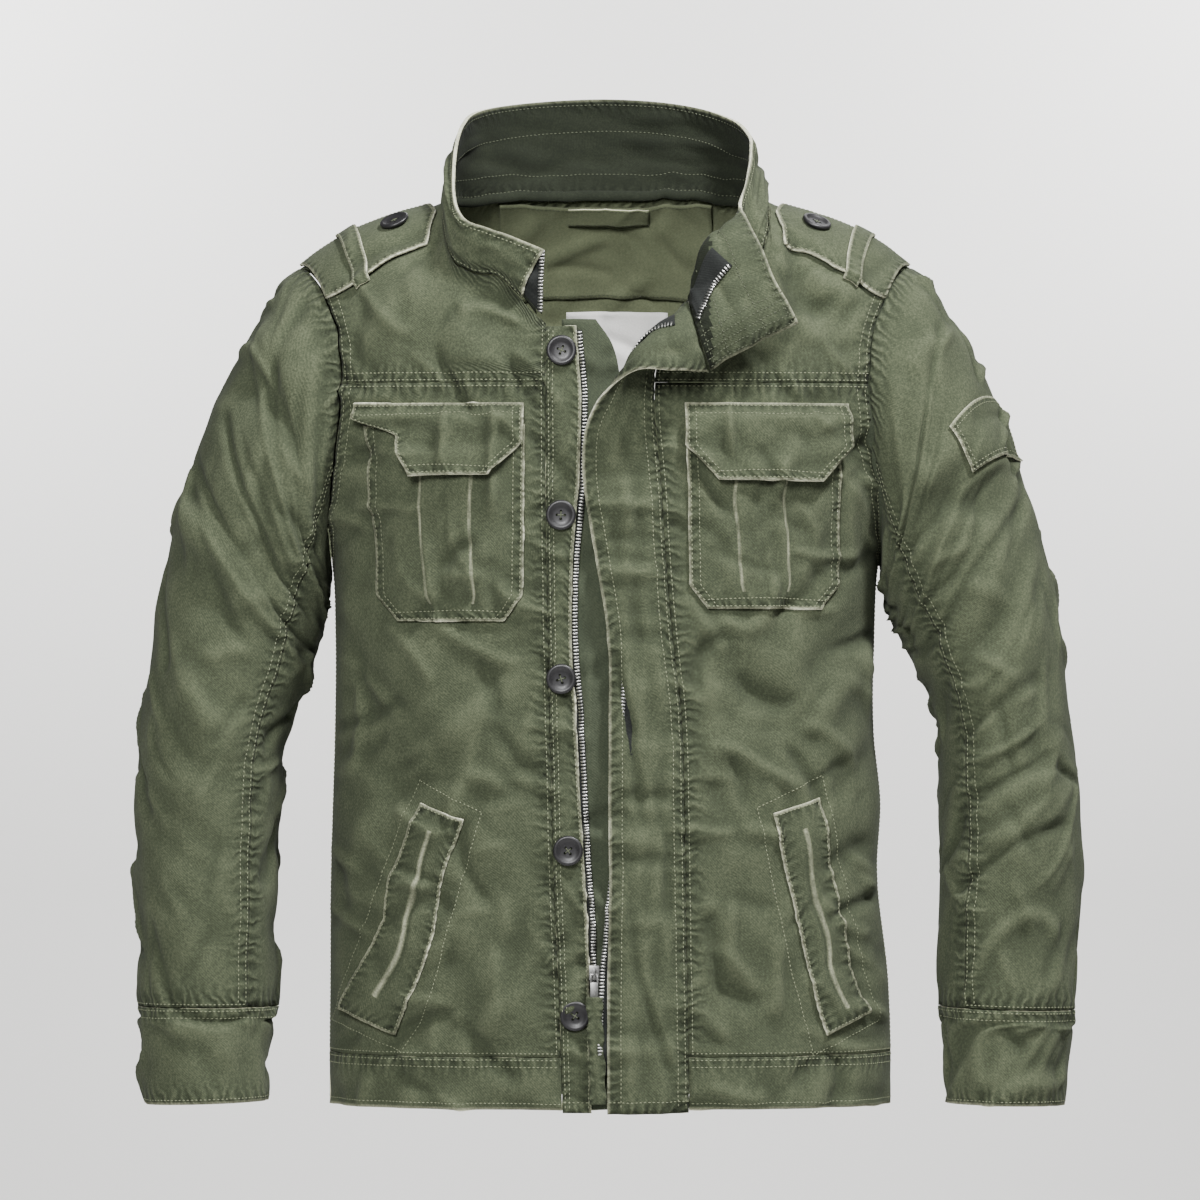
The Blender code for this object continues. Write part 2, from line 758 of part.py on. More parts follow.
@functools.lru_cache(maxsize=None)
def bare_fly(place, share):
    """The fly placket's smooth surface: share is 0 at its seam and 1 at its free edge."""
    row = FLY.at(place)
    weights = ((1 - share) * (1 - 2 * share), 4 * share * (1 - share), share * (2 * share - 1))
    names = ("seam", "mid", "free")
    points = [front(row[name + "_x"], row[name + "_z"]) - np.array((0, row[name + "_off"], 0)) for name in names]
    return sum(weight * spot for weight, spot in zip(weights, points))


def fly(place, share, out=0.0):
    """A point of the fly placket, moved out from its outer face by so much."""
    last = FLY.where[-1]
    before, after = max(place - 0.1, 0), min(place + 0.1, last)
    along = bare_fly(after, share) - bare_fly(before, share)
    across = bare_fly(place, share - 0.05) - bare_fly(place, share + 0.05)
    normal = np.cross(across, along)
    return bare_fly(place, share) + normal / np.linalg.norm(normal) * out


def placed(point):
    return Vector([float(value) * MM for value in point])


def material_named(spec):
    name, colour, roughness, metallic = spec
    found = bpy.data.materials.get(name)
    if found:
        return found
    made = bpy.data.materials.new(name)
    made.use_nodes = True
    shader = made.node_tree.nodes["Principled BSDF"]
    shader.inputs["Base Color"].default_value = (*colour, 1.0)
    shader.inputs["Roughness"].default_value = roughness
    shader.inputs["Metallic"].default_value = metallic
    made.diffuse_color = (*colour, 1.0)
    return made


def finished(name, mesh, spec):
    """Puts one piece in the jacket's collection, shaded smooth, with its own material."""
    for face in mesh.polygons:
        face.use_smooth = True
    mesh.materials.append(material_named(spec).copy())
    mesh.materials[0].name = name + "_finish"
    piece = bpy.data.objects.new(name, mesh)
    JACKET.objects.link(piece)
    return piece


def wall(name, spec, point, columns, rows, thick, ring=False):
    """A wall of cloth: a grid laid by point(across, up, out), pulled in by its thickness and laid again."""
    grid = bmesh.new()
    across = grid.verts.layers.float.new("across")
    height = grid.verts.layers.float.new("up")
    bmesh.ops.create_grid(grid, x_segments=columns, y_segments=rows, size=0.5)
    for vert in grid.verts:
        vert[across] = vert.co.x + 0.5
        vert[height] = vert.co.y + 0.5
    pulled = bmesh.ops.extrude_face_region(grid, geom=grid.faces[:])
    inner = {item for item in pulled["geom"] if isinstance(item, bmesh.types.BMVert)}
    for vert in grid.verts:
        vert.co = placed(point(vert[across], vert[height], -thick if vert in inner else 0.0))
    if ring:
        close_ring(grid, across)
    bmesh.ops.recalc_face_normals(grid, faces=grid.faces)
    if grid.calc_volume(signed=True) < 0:
        bmesh.ops.reverse_faces(grid, faces=grid.faces)
    mesh = bpy.data.meshes.new(name)
    grid.to_mesh(mesh)
    grid.free()
    return finished(name, mesh, spec)


def close_ring(grid, across):
    """Joins the first and last columns of a wall that runs all the way round."""
    ends = [face for face in grid.faces if len({round(vert[across], 4) for vert in face.verts}) == 1]
    bmesh.ops.delete(grid, geom=ends, context="FACES_ONLY")
    bmesh.ops.remove_doubles(grid, verts=grid.verts, dist=0.00001)


def between(start, end, share):
    return start + (end - start) * share


# The body's panels.


def seam_turn(z):
    """Half the seam gap at the side, as a turn."""
    return SIDE_SEAM_TURN if z < ARMPIT_Z else ARMHOLE_SEAM_TURN


def fly_seam_x(z):
    """X of the fly placket's seam at this height."""
    return float(np.interp(z, FLY_SEAM_LINE[1], FLY_SEAM_LINE[0]))


def front_opening(side, z):
    """X of a front panel's inner edge at this height."""
    if side > 0:
        return fly_seam_x(z) + SEAM_GAP
    return PLACKET.at(z)["seam_x"] - SEAM_GAP


def front_panel(side):
    """A lower front: from the middle opening to the side seam and the armhole."""

    def point(across, up_share, out):
        z = PANEL_ROWS[round(up_share * (len(PANEL_ROWS) - 1))]
        start = turn_at(front_opening(side, z), z)
        end = edge_turn(side, z - CAP_Z) - side * seam_turn(z)
        share = across if side > 0 else 1 - across
        return body(between(start, end, share), z - CAP_Z, out)

    return point


def yoke_spread(side, share, up_share, top, foot_start, front_edge):
    """X of a yoke's point: between its foot and top edges, following the armhole and the front edge."""
    low = YOKE_SEAM_Z + SEAM_GAP / 2 - CAP_Z
    half = BODY.at(CAP_Z)["right" if side > 0 else "left"]
    foot_end = half * min(ARMHOLE.at(low)["share"], 1.0)
    top_end = half * ARMHOLE.at(CAP_RISE)["share"]
    edge_up = between(low, CAP_RISE, up_share)
    edge = half * min(ARMHOLE.at(edge_up)["share"], 1.0)
    x = between(between(foot_start, foot_end, share), top["x"], up_share)
    x += share**2 * (edge - between(foot_end, top_end, up_share))
    if front_edge:
        x += (1 - share) ** 3 * front_edge
    return x


def yoke_panel(side):
    """A front yoke: from its seam up to the neck and the shoulder."""
    table = YOKE_TOP["left" if side < 0 else "right"]
    low = YOKE_SEAM_Z + SEAM_GAP / 2 - CAP_Z
    foot_start = abs(front_opening(side, YOKE_SEAM_Z))
    top_start = table.at(0)["x"] + SEAM_GAP

    def point(across, up_share, out):
        share = YOKE_COLUMNS[round((across if side > 0 else 1 - across) * (len(YOKE_COLUMNS) - 1))]
        top = table.at(share)
        up = between(low, min(top["up"], CAP_RISE - SEAM_GAP / 2), up_share)
        edge_z = between(YOKE_SEAM_Z, bare_body(turn_at(table.at(0)["x"], CAP_Z), table.at(0)["up"])[2], up_share)
        front_edge = abs(front_opening(side, edge_z)) - between(foot_start, top_start, up_share)
        x = yoke_spread(side, share, up_share, top, foot_start, front_edge)
        return body(turn_at(side * x, CAP_Z), up, out)

    return point


def back_point(turn, up, out=0.0):
    """A point of the back, where the turn runs on past 180 to the other side."""
    return body(turn if turn <= 180 else turn - 360, up, out)


def back_turn(x):
    """The turn on the back above this X."""
    turn = 180 - turn_at(abs(x), CAP_Z)
    return turn if x >= 0 else 360 - turn


def back_panel(across, up_share, out):
    """The back, from its hem seam to its yoke seam."""
    z = PANEL_ROWS[round(up_share * (len(PANEL_ROWS) - 1))]
    start = 180 - edge_turn(1, z - CAP_Z) + seam_turn(z)
    end = 180 + edge_turn(1, z - CAP_Z) - seam_turn(z)
    return back_point(between(start, end, across), z - CAP_Z, out)


def back_yoke(across, up_share, out):
    """The back yoke: from its seam up to the neck and both shoulders."""
    side = 1 if across < 0.5 else -1
    share = abs(1 - 2 * across)
    low = YOKE_SEAM_Z + SEAM_GAP / 2 - CAP_Z
    top = BACK_TOP.at(share)
    up = between(low, min(top["up"], CAP_RISE - SEAM_GAP / 2), up_share)
    x = yoke_spread(side, share, up_share, top, 0.0, 0.0)
    return back_point(back_turn(side * x), up, out)


def hem_front(side):
    """A front's hem band."""

    def point(across, up_share, out):
        z = between(HEM_Z, HEM_SEAM_Z, up_share)
        share = across if side > 0 else 1 - across
        turn = between(turn_at(front_opening(side, z), z), side * (90 - seam_turn(z)), share)
        return body(turn, z - CAP_Z, out + HEM_PROUD)

    return point


def hem_back(across, up_share, out):
    z = between(HEM_Z, HEM_SEAM_Z, up_share)
    turn = between(90 + seam_turn(z), 270 - seam_turn(z), across)
    return back_point(turn, z - CAP_Z, out + HEM_PROUD)


def button_placket(across, up_share, out):
    """The strip down the left front that carries the buttons."""
    z = between(HEM_Z - 2, ZIP_TOP_Z, up_share)
    row = PLACKET.at(z)
    return front(between(row["seam_x"], row["free_x"], across), z, out + HEM_PROUD)


# The sleeves.


def sleeve_piece(side_name, first, last, start, end, proud=0.0):
    """Part of a sleeve between two places and two turns, ordered so that its outer face looks out."""

    def point(across, up_share, out):
        share = across if side_name == "left" else 1 - across
        return sleeve(side_name, between(last, first, up_share), between(start, end, share), out + proud)

    return point


# Pieces that lie on the fronts.


def chest_pocket(side_name):
    """A chest pocket's patch: flat along its sewn edges, fuller inside, with a raised pleat down its middle."""
    size = POCKETS[side_name]

    def point(across, up_share, out):
        share = POCKET_COLUMNS[round(across * (len(POCKET_COLUMNS) - 1))]
        cut = POCKET_CORNER * max(0.0, 1 - up_share / POCKET_CORNER_SHARE)
        left = size["left"] + size["narrow"] * (1 - up_share) + cut
        right = size["right"] - POCKET_FOOT_IN * (1 - up_share) - cut
        z = between(size["bottom"], POCKET_TOP_Z, up_share)
        lift = POCKET_PUFF * smooth_step(min(share, 1 - share, up_share) * 5)
        if abs(share - 0.5) < POCKET_PLEAT_SHARE:
            lift += POCKET_PLEAT
        return front(between(left, right, share), z, POCKET_GAP + CLOTH + lift + out)

    return point


def pocket_flap(side_name):
    """A pocket flap, sewn down along its top, over the pocket below. One has a corner curled up."""
    size = FLAPS[side_name]

    def point(across, up_share, out):
        z = between(size["low"], FLAP_TOP_Z, up_share)
        cut = size["corner"] * max(0.0, 1 - up_share / FLAP_LOOSE_SHARE)
        left = size["left"] + cut
        right = size["right"] - cut
        drop = FLAP_TOP_Z - z
        lift = LAY_GAP + DOUBLE_CLOTH
        lift += (POCKET_GAP + CLOTH + POCKET_PUFF + POCKET_PLEAT) * smooth_step(drop / FLAP_RISE)
        lift += FLAP_FLARE * smooth_step((FLAP_LOOSE_SHARE - up_share) * 2)
        if size["curl"]:
            left += FLAP_CURL_BACK * smooth_step((0.82 - up_share) * 3.5) - cut / 2
            lift += FLAP_CURL * smooth_step((FLAP_CURL_SHARE - across) * 3) * smooth_step((0.75 - up_share) * 2)
        return front(between(left, right, across), z, lift + out)

    return point


def pocket_welt(side_name):
    """A slanted hand pocket's welt, raised along the middle where the pocket opens."""
    table = WELTS[side_name]

    def point(across, up_share, out):
        row = table.at(table.where[-1] * (1 - up_share))
        share = across if side_name == "right" else 1 - across
        x = between(row["near_x"], row["far_x"], share)
        z = between(row["near_z"], row["far_z"], share)
        lift = WELT_RISE * math.exp(-(((share - 0.5) / WELT_RISE_SHARE) ** 2)) * math.sin(math.pi * up_share)
        gap = between(WELT_GAP[0], between(WELT_GAP[1], WELT_GAP[2], share), 1 - up_share)
        return front(x, z, gap + CLOTH + lift + out)

    return point


# Pieces on the shoulders.


def epaulette_spot(side, share, across):
    """X and height up the cloth on an epaulette: share runs from the armhole seam to its pointed end."""
    up = between(between(*EPAULETTE_FRONT_UP, smooth_step(share)), between(*EPAULETTE_BACK_UP, share), across)
    half = BODY.at(CAP_Z)["right" if side > 0 else "left"]
    start = half * ARMHOLE.at(up)["share"] - EPAULETTE_UNDER
    point_share = max(0.0, share - EPAULETTE_POINT_START) / (1 - EPAULETTE_POINT_START)
    end = EPAULETTE_END_X - EPAULETTE_POINT * point_share * (1 - 2 * abs(across - 0.5))
    return side * between(start, end, share), min(up, CAP_RISE - 0.5)


def epaulette(side):
    def point(across, up_share, out):
        share = 1 - across if side > 0 else across
        x, up = epaulette_spot(side, share, up_share)
        lift = EPAULETTE_GAP + DOUBLE_CLOTH + EPAULETTE_LIFT * math.sin(math.pi * share)
        return body(turn_at(x, CAP_Z), up, lift + out)

    return point


def epaulette_loop(side):
    """The narrow loop over an epaulette, its ends coming down to the shoulder."""

    def point(across, up_share, out):
        share = LOOP_COLUMNS[round(2 * (1 - across if side > 0 else across))]
        row = LOOP_ROWS[round(up_share * (len(LOOP_ROWS) - 1))]
        x, up = epaulette_spot(side, share, row)
        over = EPAULETTE_GAP + DOUBLE_CLOTH + EPAULETTE_LIFT * math.sin(math.pi * share)
        lift = over + LOOP_GAP + CLOTH
        if not 0 <= row <= 1:
            lift = LAY_GAP + CLOTH
        return body(turn_at(x, CAP_Z), up, lift + out)

    return point


def sleeve_patch(across, up_share, out):
    """The plain patch on the upper right sleeve."""
    row = PATCH.at(up_share)
    turn = between(row["near_turn"], row["far_turn"], across)
    place = between(row["near_place"], row["far_place"], across)
    return sleeve("right", place, turn, PATCH_GAP + TAPE + out)


# The zip.


def zip_left(across, up_share, out):
    """The left half of the zip: tape behind the button placket, its bead of teeth just past the edge."""
    z = between(ZIP_FOOT_Z, ZIP_TOP_Z - 3, up_share)
    tooth = ZIP_LEFT.at(z)["tooth_x"]
    x = between(tooth - ZIP_TAPE_WIDE, tooth + ZIP_BEAD_WIDE / 2, across)
    return front(x, z, ZIP_SINK + out)


def zip_guard(across, up_share, out):
    """The strip of twill behind the zip, sewn to the left front."""
    z = between(HEM_Z, GUARD_TOP_Z, up_share)
    row = GUARD.at(z)
    return front(between(row["near_x"], row["far_x"], across), z, ZIP_SINK - TAPE - LAY_GAP + out)


def zip_right(across, up_share, out):
    """The right half of the zip on the inner face of the fly placket, out beyond its edge at the foot."""
    place = between(ZIP_RIGHT_PLACES[0], ZIP_RIGHT_PLACES[1], up_share)
    edge = ZIP_RIGHT.at(place)["edge_share"]
    share = between(edge, edge - ZIP_RIGHT_WIDE_SHARE, across)
    return fly(place, share, -(CLOTH + LAY_GAP) + out)


def collar_wall(across, up_share, out):
    """The collar: its left front end slants back from the rim, where the zip's strip shows past it."""
    place = COLLAR_PLACES[round(across * (len(COLLAR_PLACES) - 1))]
    start = COLLAR_SLANT * (1 - up_share) * max(0.0, 1 - place / COLLAR_SLANT_PLACES)
    return collar(place + start, up_share, out)


def collar_zip_left(across, up_share, out):
    """The zip's dark strip inside the collar's left front end."""
    return collar(between(0.0, 1.5, across), between(0.03, 0.97, up_share), -(COLLAR_CLOTH + LAY_GAP) + out)


def collar_zip_right(across, up_share, out):
    """The zip's top end on the fallen collar's inner face."""
    row = COLLAR_ZIP.at(up_share)
    place = row["place"] + row["place_back"] * (1 - across)
    gap = SEAM_GAP + COLLAR_ZIP_GAP * math.sin(math.pi * min(up_share + 0.2, 1))
    return collar(place, row["up"] + row["up_back"] * (1 - across), -(COLLAR_CLOTH + gap) + out)


# Inside the neck.


def back_facing(across, up_share, out):
    """The band of twill inside the back of the neck."""
    x = between(FACING_HALF, -FACING_HALF, across)
    top = BACK_TOP.at(0.36 * abs(x) / FACING_HALF)["up"] - 3
    return back_point(back_turn(x), between(FACING_FOOT, top, up_share), INSIDE_LAY + out)


def label(across, up_share, out):
    """The blank label below the facing."""
    x = between(LABEL_X[1], LABEL_X[0], across)
    lay = between(INSIDE_LAY, LABEL_TOP_LAY, up_share)
    return back_point(back_turn(x), between(LABEL_UP[0], LABEL_UP[1], up_share), lay + out)


def hanger_loop(across, up_share, out):
    """The loop that the jacket hangs by, bowed out from the facing."""
    x = between(LOOP_X[1], LOOP_X[0], across)
    lay = INSIDE_LAY - TAPE - LAY_GAP - LOOP_BOW * math.sin(math.pi * across)
    return back_point(back_turn(x), between(LOOP_UP[0], LOOP_UP[1], up_share), lay + out)


# Hard pieces.


def front_normal(x, z):
    return body_normal(turn_at(x, min(z, CAP_Z)), up_at(x, z))


def button(name, spot, normal):
    """A dished button: its profile turned about its axis, then laid on the cloth."""
    half = BUTTON_THICK / 2
    profile = (
        (0.0, half - BUTTON_DISH),
        (BUTTON_RADIUS - BUTTON_RIM - 0.8, half - BUTTON_DISH),
        (BUTTON_RADIUS - BUTTON_RIM, half),
        (BUTTON_RADIUS - 0.7, half),
        (BUTTON_RADIUS, half - 0.9),
        (BUTTON_RADIUS - 1.2, -half),
        (0.0, -half),
    )
    mesh = bpy.data.meshes.new(name)
    points = [(radius * MM, 0, height * MM) for radius, height in profile]
    mesh.from_pydata(points, [(row, row + 1) for row in range(len(points) - 1)], [])
    piece = finished(name, mesh, BUTTON_DARK)
    turned = piece.modifiers.new("Turn", "SCREW")
    turned.steps = BUTTON_STEPS
    turned.render_steps = BUTTON_STEPS
    turned.use_merge_vertices = True
    turned.merge_threshold = 0.00001
    centre = np.array(spot) + np.array(normal) * (BUTTON_LIFT + half)
    piece.location = placed(centre)
    piece.rotation_mode = "QUATERNION"
    piece.rotation_quaternion = Vector((0, 0, 1)).rotation_difference(Vector(normal))
    return piece


def block(name, spec, centre, sizes, bevel):
    """A small block with bevelled edges."""
    shape = bmesh.new()
    bmesh.ops.create_cube(shape, size=1.0)
    for vert in shape.verts:
        vert.co = Vector([value * size * MM for value, size in zip(vert.co, sizes)])
    mesh = bpy.data.meshes.new(name)
    shape.to_mesh(mesh)
    shape.free()
    piece = finished(name, mesh, spec)
    piece.location = placed(centre)
    rounded = piece.modifiers.new("Edges", "BEVEL")
    rounded.width = bevel * MM
    rounded.segments = 1
    return piece


def join_to(piece, extras):
    """Unites small solids with this piece and keeps them as hidden cutters."""
    for extra in extras:
        union = piece.modifiers.new("Join", "BOOLEAN")
        union.operation = "UNION"
        union.solver = "EXACT"
        union.object = extra
        CUTTERS.objects.link(extra)
        JACKET.objects.unlink(extra)
        extra.hide_render = True
        extra.display_type = "WIRE"


def zip_slider(face):
    """The slider: a body on the teeth, with a bail that the pull hangs from."""
    base = block("zip_slider", ZIP_METAL, (SLIDER_X, face - 1.0, SLIDER_Z), SLIDER_SIZES, 0.8)
    front_face = face - 1.0 - SLIDER_SIZES[1] / 2
    parts = []
    for number, offset in enumerate((-BAIL_REACH, BAIL_REACH)):
        centre = (SLIDER_X, front_face - BAIL_HIGH / 2 + 0.5, SLIDER_Z + offset)
        parts.append(block(f"bail_leg_{number}", ZIP_METAL, centre, (BAIL_WIDE, BAIL_HIGH + 1.0, BAIL_BAR), 0.15))
    centre = (SLIDER_X, front_face - BAIL_HIGH, SLIDER_Z)
    top_sizes = (BAIL_WIDE - 0.1, BAIL_BAR, 2 * BAIL_REACH + BAIL_BAR - 0.2)
    parts.append(block("bail_top", ZIP_METAL, centre, top_sizes, 0.15))
    join_to(base, parts)
    return front_face


def flat_plate(name, spec, loops, half_thick):
    """A flat plate from closed outlines; an outline inside another is a hole."""
    outline = bpy.data.curves.new(name, "CURVE")
    outline.dimensions = "2D"
    outline.fill_mode = "BOTH"
    outline.extrude = half_thick * MM
    for loop in loops:
        spline = outline.splines.new("POLY")
        spline.points.add(len(loop) - 1)
        for spot, (x, z) in zip(spline.points, loop):
            spot.co = (x * MM, z * MM, 0, 1)
        spline.use_cyclic_u = True
    holder = bpy.data.objects.new(name + "_outline", outline)
    JACKET.objects.link(holder)
    bpy.context.view_layer.update()
    evaluated = holder.evaluated_get(bpy.context.evaluated_depsgraph_get())
    mesh = bpy.data.meshes.new_from_object(evaluated)
    bpy.data.objects.remove(holder)
    shape = bmesh.new()
    shape.from_mesh(mesh)
    bmesh.ops.remove_doubles(shape, verts=shape.verts, dist=0.000001)
    shape.to_mesh(mesh)
    shape.free()
    mesh.materials.clear()
    piece = finished(name, mesh, spec)
    for face in mesh.polygons:
        face.use_smooth = False
    return piece


def zip_pull(front_face):
    """The pull: a metal tab with an eye round the bail, and a strip of twill held by it."""
    axis = bpy.data.objects.new("zip_pull_axis", None)
    axis.location = placed((SLIDER_X, front_face - PULL_AXIS_OFF, SLIDER_Z + PULL_AXIS_UP))
    JACKET.objects.link(axis)
    half = PULL_WIDE / 2
    bar = PULL_THICK / 2
    outer = ((-half, bar), (half, bar), (half - 0.6, -PULL_LONG), (-half + 0.6, -PULL_LONG))
    eye = ((-PULL_EYE, -bar), (-PULL_EYE, -bar - 5.0), (PULL_EYE, -bar - 5.0), (PULL_EYE, -bar))
    tab = flat_plate("zip_pull", ZIP_METAL, (outer, eye), PULL_THICK / 2)
    tab.rotation_euler = (math.radians(90), 0, 0)
    tab.parent = axis

    def strip_point(across, up_share, out):
        x = between(-PULL_STRIP_WIDE / 2, PULL_STRIP_WIDE / 2, across)
        z = between(-PULL_STRIP_LONG, 0.0, up_share) - PULL_LONG + PULL_STRIP_LAP
        sway = PULL_STRIP_SWAY * math.sin(math.pi * 1.5 * (1 - up_share))
        return (x + PULL_STRIP_LEAN * (1 - up_share), -PULL_THICK / 2 - LAY_GAP - PULL_STRIP_THICK - sway - out, z)

    strip = wall("pull_strip", TWILL, strip_point, 2, 8, PULL_STRIP_THICK)
    strip.parent = axis


def clear_scene():
    for item in list(bpy.data.objects):
        bpy.data.objects.remove(item)


def main():
    clear_scene()
    bpy.context.scene.collection.children.link(JACKET)
    bpy.context.scene.collection.children.link(CUTTERS)
    CUTTERS.hide_render = True

    upper_turns = (BACK_SEAM_TURN - 360 + SLEEVE_SEAM_TURN, FRONT_SEAM_TURN - SLEEVE_SEAM_TURN)
    for name, side in (("left", -1), ("right", 1)):
        wall(f"front_{name}", TWILL, front_panel(side), 12, len(PANEL_ROWS) - 1, CLOTH)
        wall(f"yoke_front_{name}", TWILL, yoke_panel(side), len(YOKE_COLUMNS) - 1, 7, CLOTH)
        wall(f"hem_front_{name}", TWILL, hem_front(side), 12, 2, DOUBLE_CLOTH)
        upper = sleeve_piece(name, 0.0, CUFF_SEAM_PLACE, *upper_turns)
        wall(f"sleeve_upper_{name}", TWILL, upper, 14, 20, CLOTH)
        under = sleeve_piece(name, 0.0, CUFF_SEAM_PLACE, FRONT_SEAM_TURN, BACK_SEAM_TURN)
        wall(f"sleeve_under_{name}", TWILL, under, 5, 20, CLOTH)
        cuff = sleeve_piece(name, CUFF_SEAM_PLACE + CUFF_GAP, CUFF_PLACE, -170, 190, HEM_PROUD)
        wall(f"cuff_{name}", TWILL, cuff, 20, 3, DOUBLE_CLOTH, ring=True)
        wall(f"chest_pocket_{name}", TWILL, chest_pocket(name), len(POCKET_COLUMNS) - 1, 8, CLOTH)
        wall(f"pocket_flap_{name}", TWILL, pocket_flap(name), 8, 5, DOUBLE_CLOTH)
        wall(f"pocket_welt_{name}", TWILL, pocket_welt(name), 5, 10, CLOTH)
        wall(f"epaulette_{name}", TWILL, epaulette(side), 8, 4, DOUBLE_CLOTH)
        wall(f"epaulette_loop_{name}", TWILL, epaulette_loop(side), 2, len(LOOP_ROWS) - 1, CLOTH)
        x, up = epaulette_spot(side, EPAULETTE_BUTTON_SHARE, 0.5)
        lift = EPAULETTE_GAP + DOUBLE_CLOTH + EPAULETTE_LIFT * math.sin(math.pi * EPAULETTE_BUTTON_SHARE)
        turn = turn_at(x, CAP_Z)
        button(f"epaulette_button_{name}", body(turn, up, lift), body_normal(turn, up))

    wall("back", TWILL, back_panel, 18, len(PANEL_ROWS) - 1, CLOTH)
    wall("yoke_back", TWILL, back_yoke, 16, 7, CLOTH)
    wall("hem_back", TWILL, hem_back, 18, 2, DOUBLE_CLOTH)
    wall("button_placket", TWILL, button_placket, 3, 22, PLACKET_THICK)
    fly_last = FLY.where[-1]
    wall("fly_placket", TWILL, lambda across, up, out: fly(fly_last * up, 1 - across, out), 5, FLY_ROWS, CLOTH)
    wall("collar", TWILL, collar_wall, len(COLLAR_PLACES) - 1, 6, COLLAR_CLOTH)
    wall("collar_zip_left", TAPE_DARK, collar_zip_left, 3, 4, TAPE)
    wall("collar_zip_right", TAPE_DARK, collar_zip_right, 2, 8, TAPE)
    wall("zip_left", TAPE_DARK, zip_left, 1, 22, TAPE)
    wall("zip_guard", TWILL_DARK, zip_guard, 3, 22, CLOTH)
    wall("zip_right", TAPE_DARK, zip_right, 1, 28, TAPE)
    wall("back_facing", TWILL_DARK, back_facing, 12, 3, TAPE)
    wall("label", LABEL_WHITE, label, 6, 4, TAPE)
    wall("hanger_loop", TWILL, hanger_loop, 6, 1, TAPE)
    wall("sleeve_patch", TWILL, sleeve_patch, 5, 4, TAPE)

    for number, z in enumerate(FRONT_BUTTON_Z, 1):
        row = PLACKET.at(z)
        x = (row["seam_x"] + row["free_x"]) / 2
        button(f"front_button_{number}", front(x, z, HEM_PROUD), front_normal(x, z))
    zip_pull(zip_slider(front(SLIDER_X, SLIDER_Z)[1]))


main()
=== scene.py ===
# %% [markdown]
# # A field jacket, worn but empty
# This lesson dresses a rigid CAD jacket in finer cloth. Every panel below follows the same rounded body,
# sleeve, collar and placket surfaces as the CAD, so it stays in the same frame; what is added is what a
# washed cotton jacket shows from a step away: creases, puckered seams, rows of stitching, worn edges, zip
# teeth and buttons. One could also sculpt it by hand or drape flat patterns with a cloth simulation.
# Formulas are used here because the worn shape is already known, and because a size can then be changed
# in one place.

import math

import bmesh
import bpy
import numpy as np
from mathutils import Matrix, Vector


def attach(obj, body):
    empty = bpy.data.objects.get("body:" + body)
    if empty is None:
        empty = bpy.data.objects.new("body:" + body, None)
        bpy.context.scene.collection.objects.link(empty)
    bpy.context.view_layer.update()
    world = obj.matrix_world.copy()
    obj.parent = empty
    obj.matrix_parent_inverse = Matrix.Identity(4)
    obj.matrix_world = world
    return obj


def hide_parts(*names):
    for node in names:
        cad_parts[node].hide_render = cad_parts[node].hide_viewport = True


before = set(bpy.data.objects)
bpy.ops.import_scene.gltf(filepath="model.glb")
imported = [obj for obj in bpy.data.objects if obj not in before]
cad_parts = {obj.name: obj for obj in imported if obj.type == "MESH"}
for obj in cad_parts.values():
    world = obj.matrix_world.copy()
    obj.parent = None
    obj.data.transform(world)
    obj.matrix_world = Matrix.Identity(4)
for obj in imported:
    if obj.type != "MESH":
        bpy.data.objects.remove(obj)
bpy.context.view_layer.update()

# %% [markdown]
# ## Sizes
# Millimetres throughout; points are turned into metres only when a mesh is made. X runs to the wearer's
# left, Y to the back and Z up. Left and right are as the viewer in front sees them. Each table has named
# columns and is read smoothly between its rows. Heights "up the cloth" are measured from CAP_Z, where the
# arch over the shoulders begins, and run to CAP_RISE at the shoulder line.

# %% Sizes of cloth and seams
MM = 0.001
CLOTH = 1.8
DOUBLE_CLOTH = 2.2
COLLAR_CLOTH = 2.6
TAPE = 1.2
ALLOWANCE = 0.8
ALLOWANCE_GAP = 0.9
NECK_ALLOWANCE_GAP = 0.35
SEAM_GAP = 0.4
LAY_GAP = 0.6
ARMHOLE_GAP = 0.9
POCKET_GAP = 0.9
EPAULETTE_GAP = 1.4
LOOP_GAP = 0.8
HEM_PROUD = 0.2
OVAL = 2.3
CAP_Z = -130.0
CAP_RISE = 110.0
HEM_SEAM_Z = -661.0
HEM_Z = -701.0
YOKE_SEAM_Z = -146.0
ARMPIT_Z = -285.0
SIDE_FADE = 0.35
CUFF_SEAM_PLACE = 12.0
CUFF_PLACE = 14.0
FRONT_SEAM_TURN = 130.0
BACK_SEAM_TURN = 232.0
COLLAR_TURN_PLACE = 19.0
COLLAR_LIFT = 1.3
COLLAR_OPEN_LIFT = 1.2
SLEEVE_STEP = 48.0
SLEEVE_REACH = 1.2
SLEEVE_RADIUS = 75.0
PUCKER_PITCH = 8.5
STITCH_PITCH = 3.4
STITCH_PROUD = 0.12

